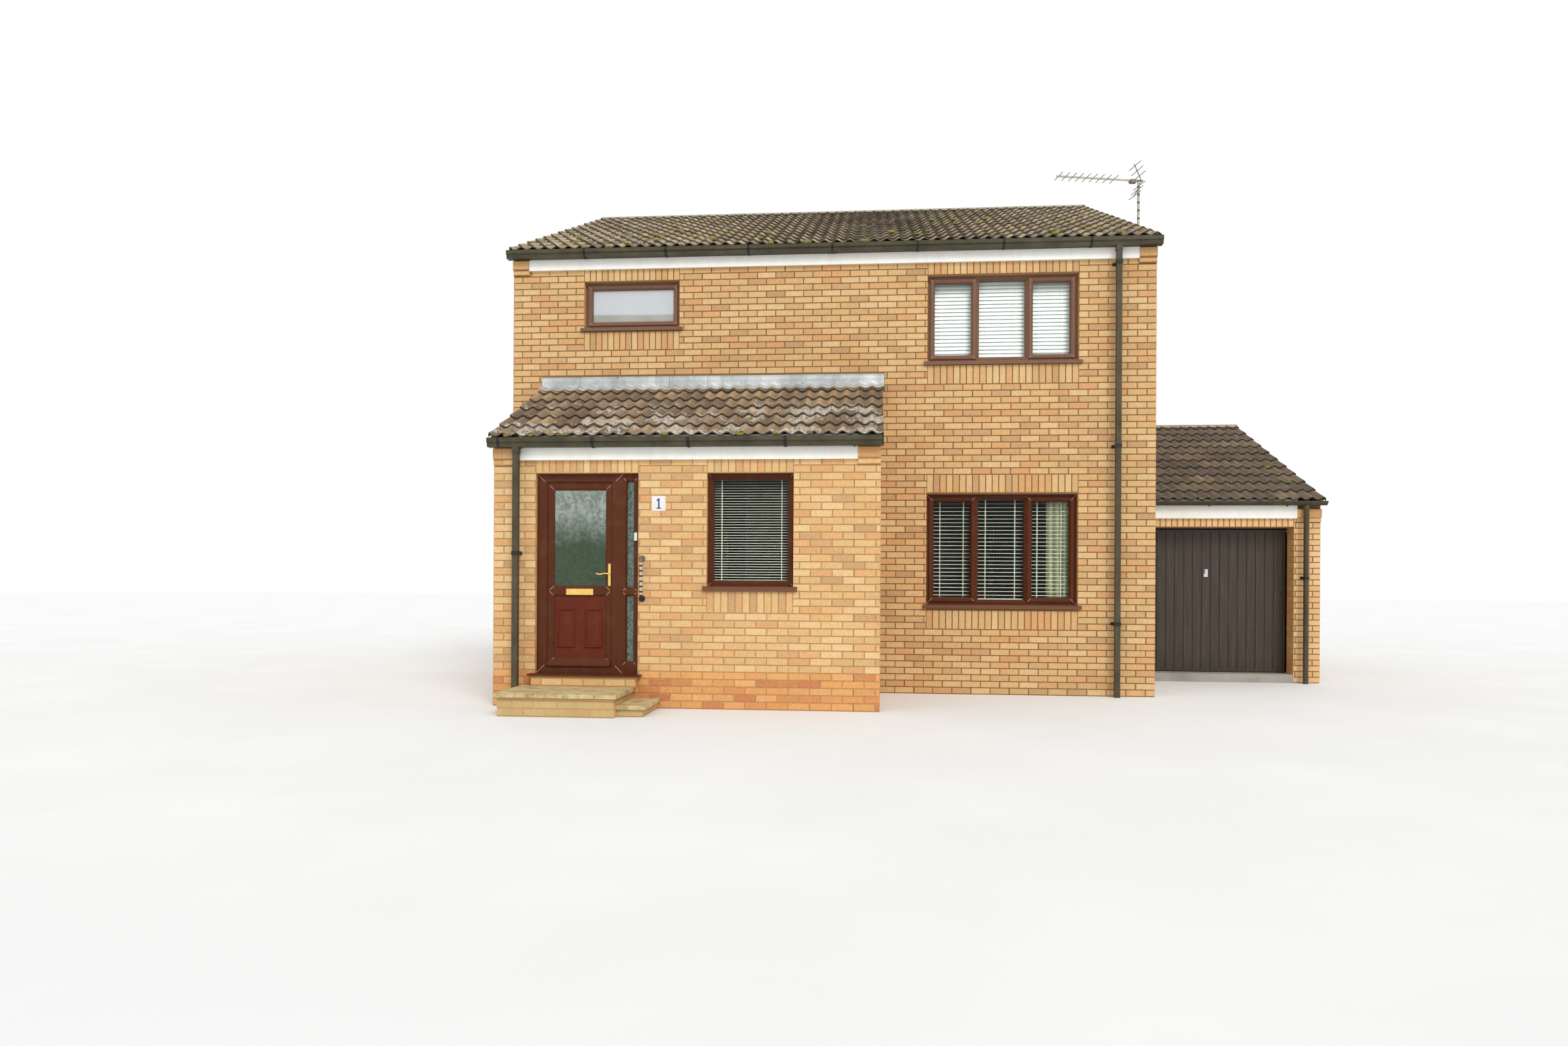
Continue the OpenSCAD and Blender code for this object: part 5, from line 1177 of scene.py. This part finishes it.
def blinds():
    """Slatted blinds, with crowned slats on ladder tapes."""
    points, faces = [], []

    def bar(place, x0, x1, y0, y1, z0, z1):
        loft(points, faces, place, x0, x1, [(y1, z0), (y1, z1), (y0, z1), (y0, z0)])

    def slat(w, tilt, z):
        upper, lower = [], []
        for i in range(7):
            t = -0.5 + i / 6
            rise = CROWN_SHARE * w * (1 - 4 * t * t)
            for edge, line in ((0.0004, upper), (-0.0004, lower)):
                u, v = t * w, rise + edge
                line.append((BLIND_MIDDLE + u * math.cos(tilt) - v * math.sin(tilt),
                             z + u * math.sin(tilt) + v * math.cos(tilt)))
        return lower[::-1] + upper

    def blind(place, opening, pitch, degrees, tapes):
        x0, x1 = opening[0] + 0.012, opening[1] - 0.012
        z0, z1 = opening[2] + SILL_H + 0.030, opening[3] - 0.0003
        tilt = math.radians(degrees)
        w = pitch + 0.003
        count = math.floor((z1 - 0.062 - z0) / pitch)
        bar(place, x0, x1, BLIND_Y, BLIND_Y + 0.050, z1 - 0.040, z1)
        for i in range(count):
            loft(points, faces, place, x0, x1, slat(w, tilt, z1 - 0.062 - i * pitch))
        foot = z1 - 0.062 - count * pitch
        bar(place, x0, x1, BLIND_MIDDLE - 0.022, BLIND_MIDDLE + 0.022, foot - 0.008, foot + 0.008)
        reach = w / 2 * math.cos(tilt) + 0.0015
        for share in tapes:
            x = x0 + share * (x1 - x0)
            for y in (BLIND_MIDDLE - reach, BLIND_MIDDLE + reach):
                bar(place, x - 0.003, x + 0.003, y - 0.0005, y + 0.0005, foot, z1 - 0.040)
    for opening, degrees in ((UPPER_WIDE, 72), (LOWER_WIDE, 5)):
        blind(at, opening, 0.0455, degrees, (0.09, 0.25, 0.40, 0.60, 0.75, 0.91))
    blind(at_porch, PORCH_OPENING, 0.0275, 9, (0.14, 0.86))
    piece("crowned_blinds", points, faces, blind_white, replaced=["window_blinds"])


class Mitres:
    """Gathers the lines where frame members meet at mitres, painted pale as a highlight in their grooves."""

    def __init__(self):
        self.points = []
        self.faces = []

    def corners(self, place, x0, x1, z0, z1, profile):
        """A line inwards from each corner. profile lists (distance in, depth)."""
        for x, sx, z, sz in ((x0, 1, z0, 1), (x0, 1, z1, -1), (x1, -1, z0, 1), (x1, -1, z1, -1)):
            for ends in zip(profile, profile[1:]):
                start = len(self.points)
                for inset, y in ends:
                    for side in (-0.0024, 0.0024):
                        px, pz = x + sx * (inset + side), z + sz * (inset - side)
                        self.points.append(place(px, y - 0.0006, pz))
                self.faces.append((start, start + 1, start + 3, start + 2)[::sx * sz])

    def edge(self, face, inner, wide, deep):
        """The profile over a member from its flat face down its moulded edge."""
        return [(0.005, face), (inner - wide, face), (inner - wide * 0.72, face + 0.003),
                (inner - wide * 0.34, face + 0.3 * deep + 0.002), (inner - wide * 0.14, face + 0.6 * deep),
                (inner, face + deep)]

    def window(self, place, opening, lights):
        """lights lists (share of the width, whether it opens)."""
        x0, x1, z0, z1 = opening
        low = z0 + SILL_H
        self.corners(place, x0, x1, low, z1, [(0.002, REVEAL), (FRAME - 0.014, REVEAL)])
        clear = x1 - x0 - 2 * FRAME - (len(lights) - 1) * MULLION
        left = x0 + FRAME
        for share, opens in lights:
            wide = round(clear * share, 3)
            if opens:
                profile = self.edge(REVEAL - SASH_PROUD, SASH, SASH_EDGE, 0.024 + SASH_PROUD)
                self.corners(place, left - 0.012, left + wide + 0.012, low + FRAME - 0.012,
                             z1 - FRAME + 0.012, profile)
            left += wide + MULLION

    def make(self, name, body):
        piece(name, self.points, self.faces, mitre_painted_highlight, body=body)


def mitre_lines():
    lines = Mitres()
    three = [(50 / 155, True), (55 / 155, False), (50 / 155, True)]
    for place, opening, lights in [
            (at, UPPER_WIDE, three), (at, LOWER_WIDE, three), (at, UPPER_SMALL, [(1, True)]),
            (at_porch, PORCH_OPENING, [(1, False)]),
            *[(at_rear, opening, three) for opening in REAR_WINDOWS]]:
        lines.window(place, opening, lights)
    # The door frame and its side light
    lines.corners(at_porch, DOOR[0], 1.375, 0.349, PORCH_HEAD, [(0.004, DOOR_FRAME_Y), (0.080, DOOR_FRAME_Y)])
    for z0, z1 in ((0.479, 1.164), (1.254, 2.361)):
        lines.corners(at_porch, 1.375, 1.525, z0 - 0.040, z1 + 0.040,
                      lines.edge(DOOR_FRAME_Y, 0.040, 0.018, 0.030))
    lines.make("mitre_lines", "house")
    # The door leaf
    lines = Mitres()
    for z0, z1 in ((0.511, 1.159), (1.269, 2.273)):
        lines.corners(at_porch, 0.577, 1.236, z0 - 0.055, z1 + 0.055, lines.edge(0.072, 0.055, 0.022, 0.018))
    lines.make("door_mitre_lines", "front_door")


def numeral():
    """The figure one on the number plate."""
    low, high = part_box("house_number_plate")
    cx = (low.x + high.x) / 2
    cz = (low.z + high.z) / 2
    stroke = [(-0.006, -0.052), (-0.006, 0.030), (-0.022, 0.022), (-0.022, 0.033), (-0.002, 0.052),
              (0.010, 0.052), (0.010, -0.052)]
    foot = [(-0.022, -0.056), (-0.022, -0.046), (0.026, -0.046), (0.026, -0.056)]
    points, faces = [], []
    for shape in (stroke, foot):
        start = len(points)
        n = len(shape)
        points += [(cx + u, low.y + depth, cz + w) for depth in (0.0, -0.0012) for u, w in shape]
        faces.append([start + n + i for i in range(n)][::-1])
        faces += [(start + i, start + (i + 1) % n, start + n + (i + 1) % n, start + n + i) for i in range(n)]
    blue = plastic_finish("numeral_blue", (40, 52, 120), (54, 66, 134), 0.3, (110, 114, 150), 0.2, 30)
    piece("plate_numeral", points, faces, blue)


def stage():
    """Floor, background and lights."""
    mesh = bpy.data.meshes.new("floor")
    corners = [(x, y, -0.002) for x, y in ((-60, -60), (60, -60), (60, 60), (-60, 60))]
    mesh.from_pydata(corners, [], [(0, 1, 2, 3)])
    f = Finish("pale_floor")
    f.put(f.shader.inputs["Base Color"], f.fade(f.noise(0.6), 0.4, 0.7, (226, 226, 224), (230, 230, 228)))
    f.shader.inputs["Roughness"].default_value = 0.8
    mesh.materials.append(f.material)
    floor = place_object("floor", mesh)
    world = bpy.data.worlds.new("studio")
    bpy.context.scene.world = world
    world.use_nodes = True
    world.node_tree.nodes.clear()
    w = Nodes(world.node_tree)
    path = w.node("ShaderNodeLightPath").outputs
    direct = w.either(path["Is Camera Ray"], path["Is Glossy Ray"], path["Is Transmission Ray"])
    soft = w.node("ShaderNodeBackground", {0: (0.97, 0.985, 1.0, 1), 1: 0.88})
    white = w.node("ShaderNodeBackground", {0: (1, 1, 1, 1), 1: 1.0})
    blend = w.node("ShaderNodeMixShader", {0: direct, 1: soft.outputs[0], 2: white.outputs[0]})
    w.node("ShaderNodeOutputWorld", {0: blend.outputs[0]})
    for name, degrees, power, angle in (("key", (48, 0, 26), 1.5, 24), ("fill", (62, 0, -40), 0.33, 60)):
        data = bpy.data.lights.new(name, "SUN")
        data.energy = power
        data.angle = math.radians(angle)
        place_object(name, data).rotation_euler = [math.radians(v) for v in degrees]


lead_apron()
tufts()
curtain()
blinds()
mitre_lines()
numeral()
stage()
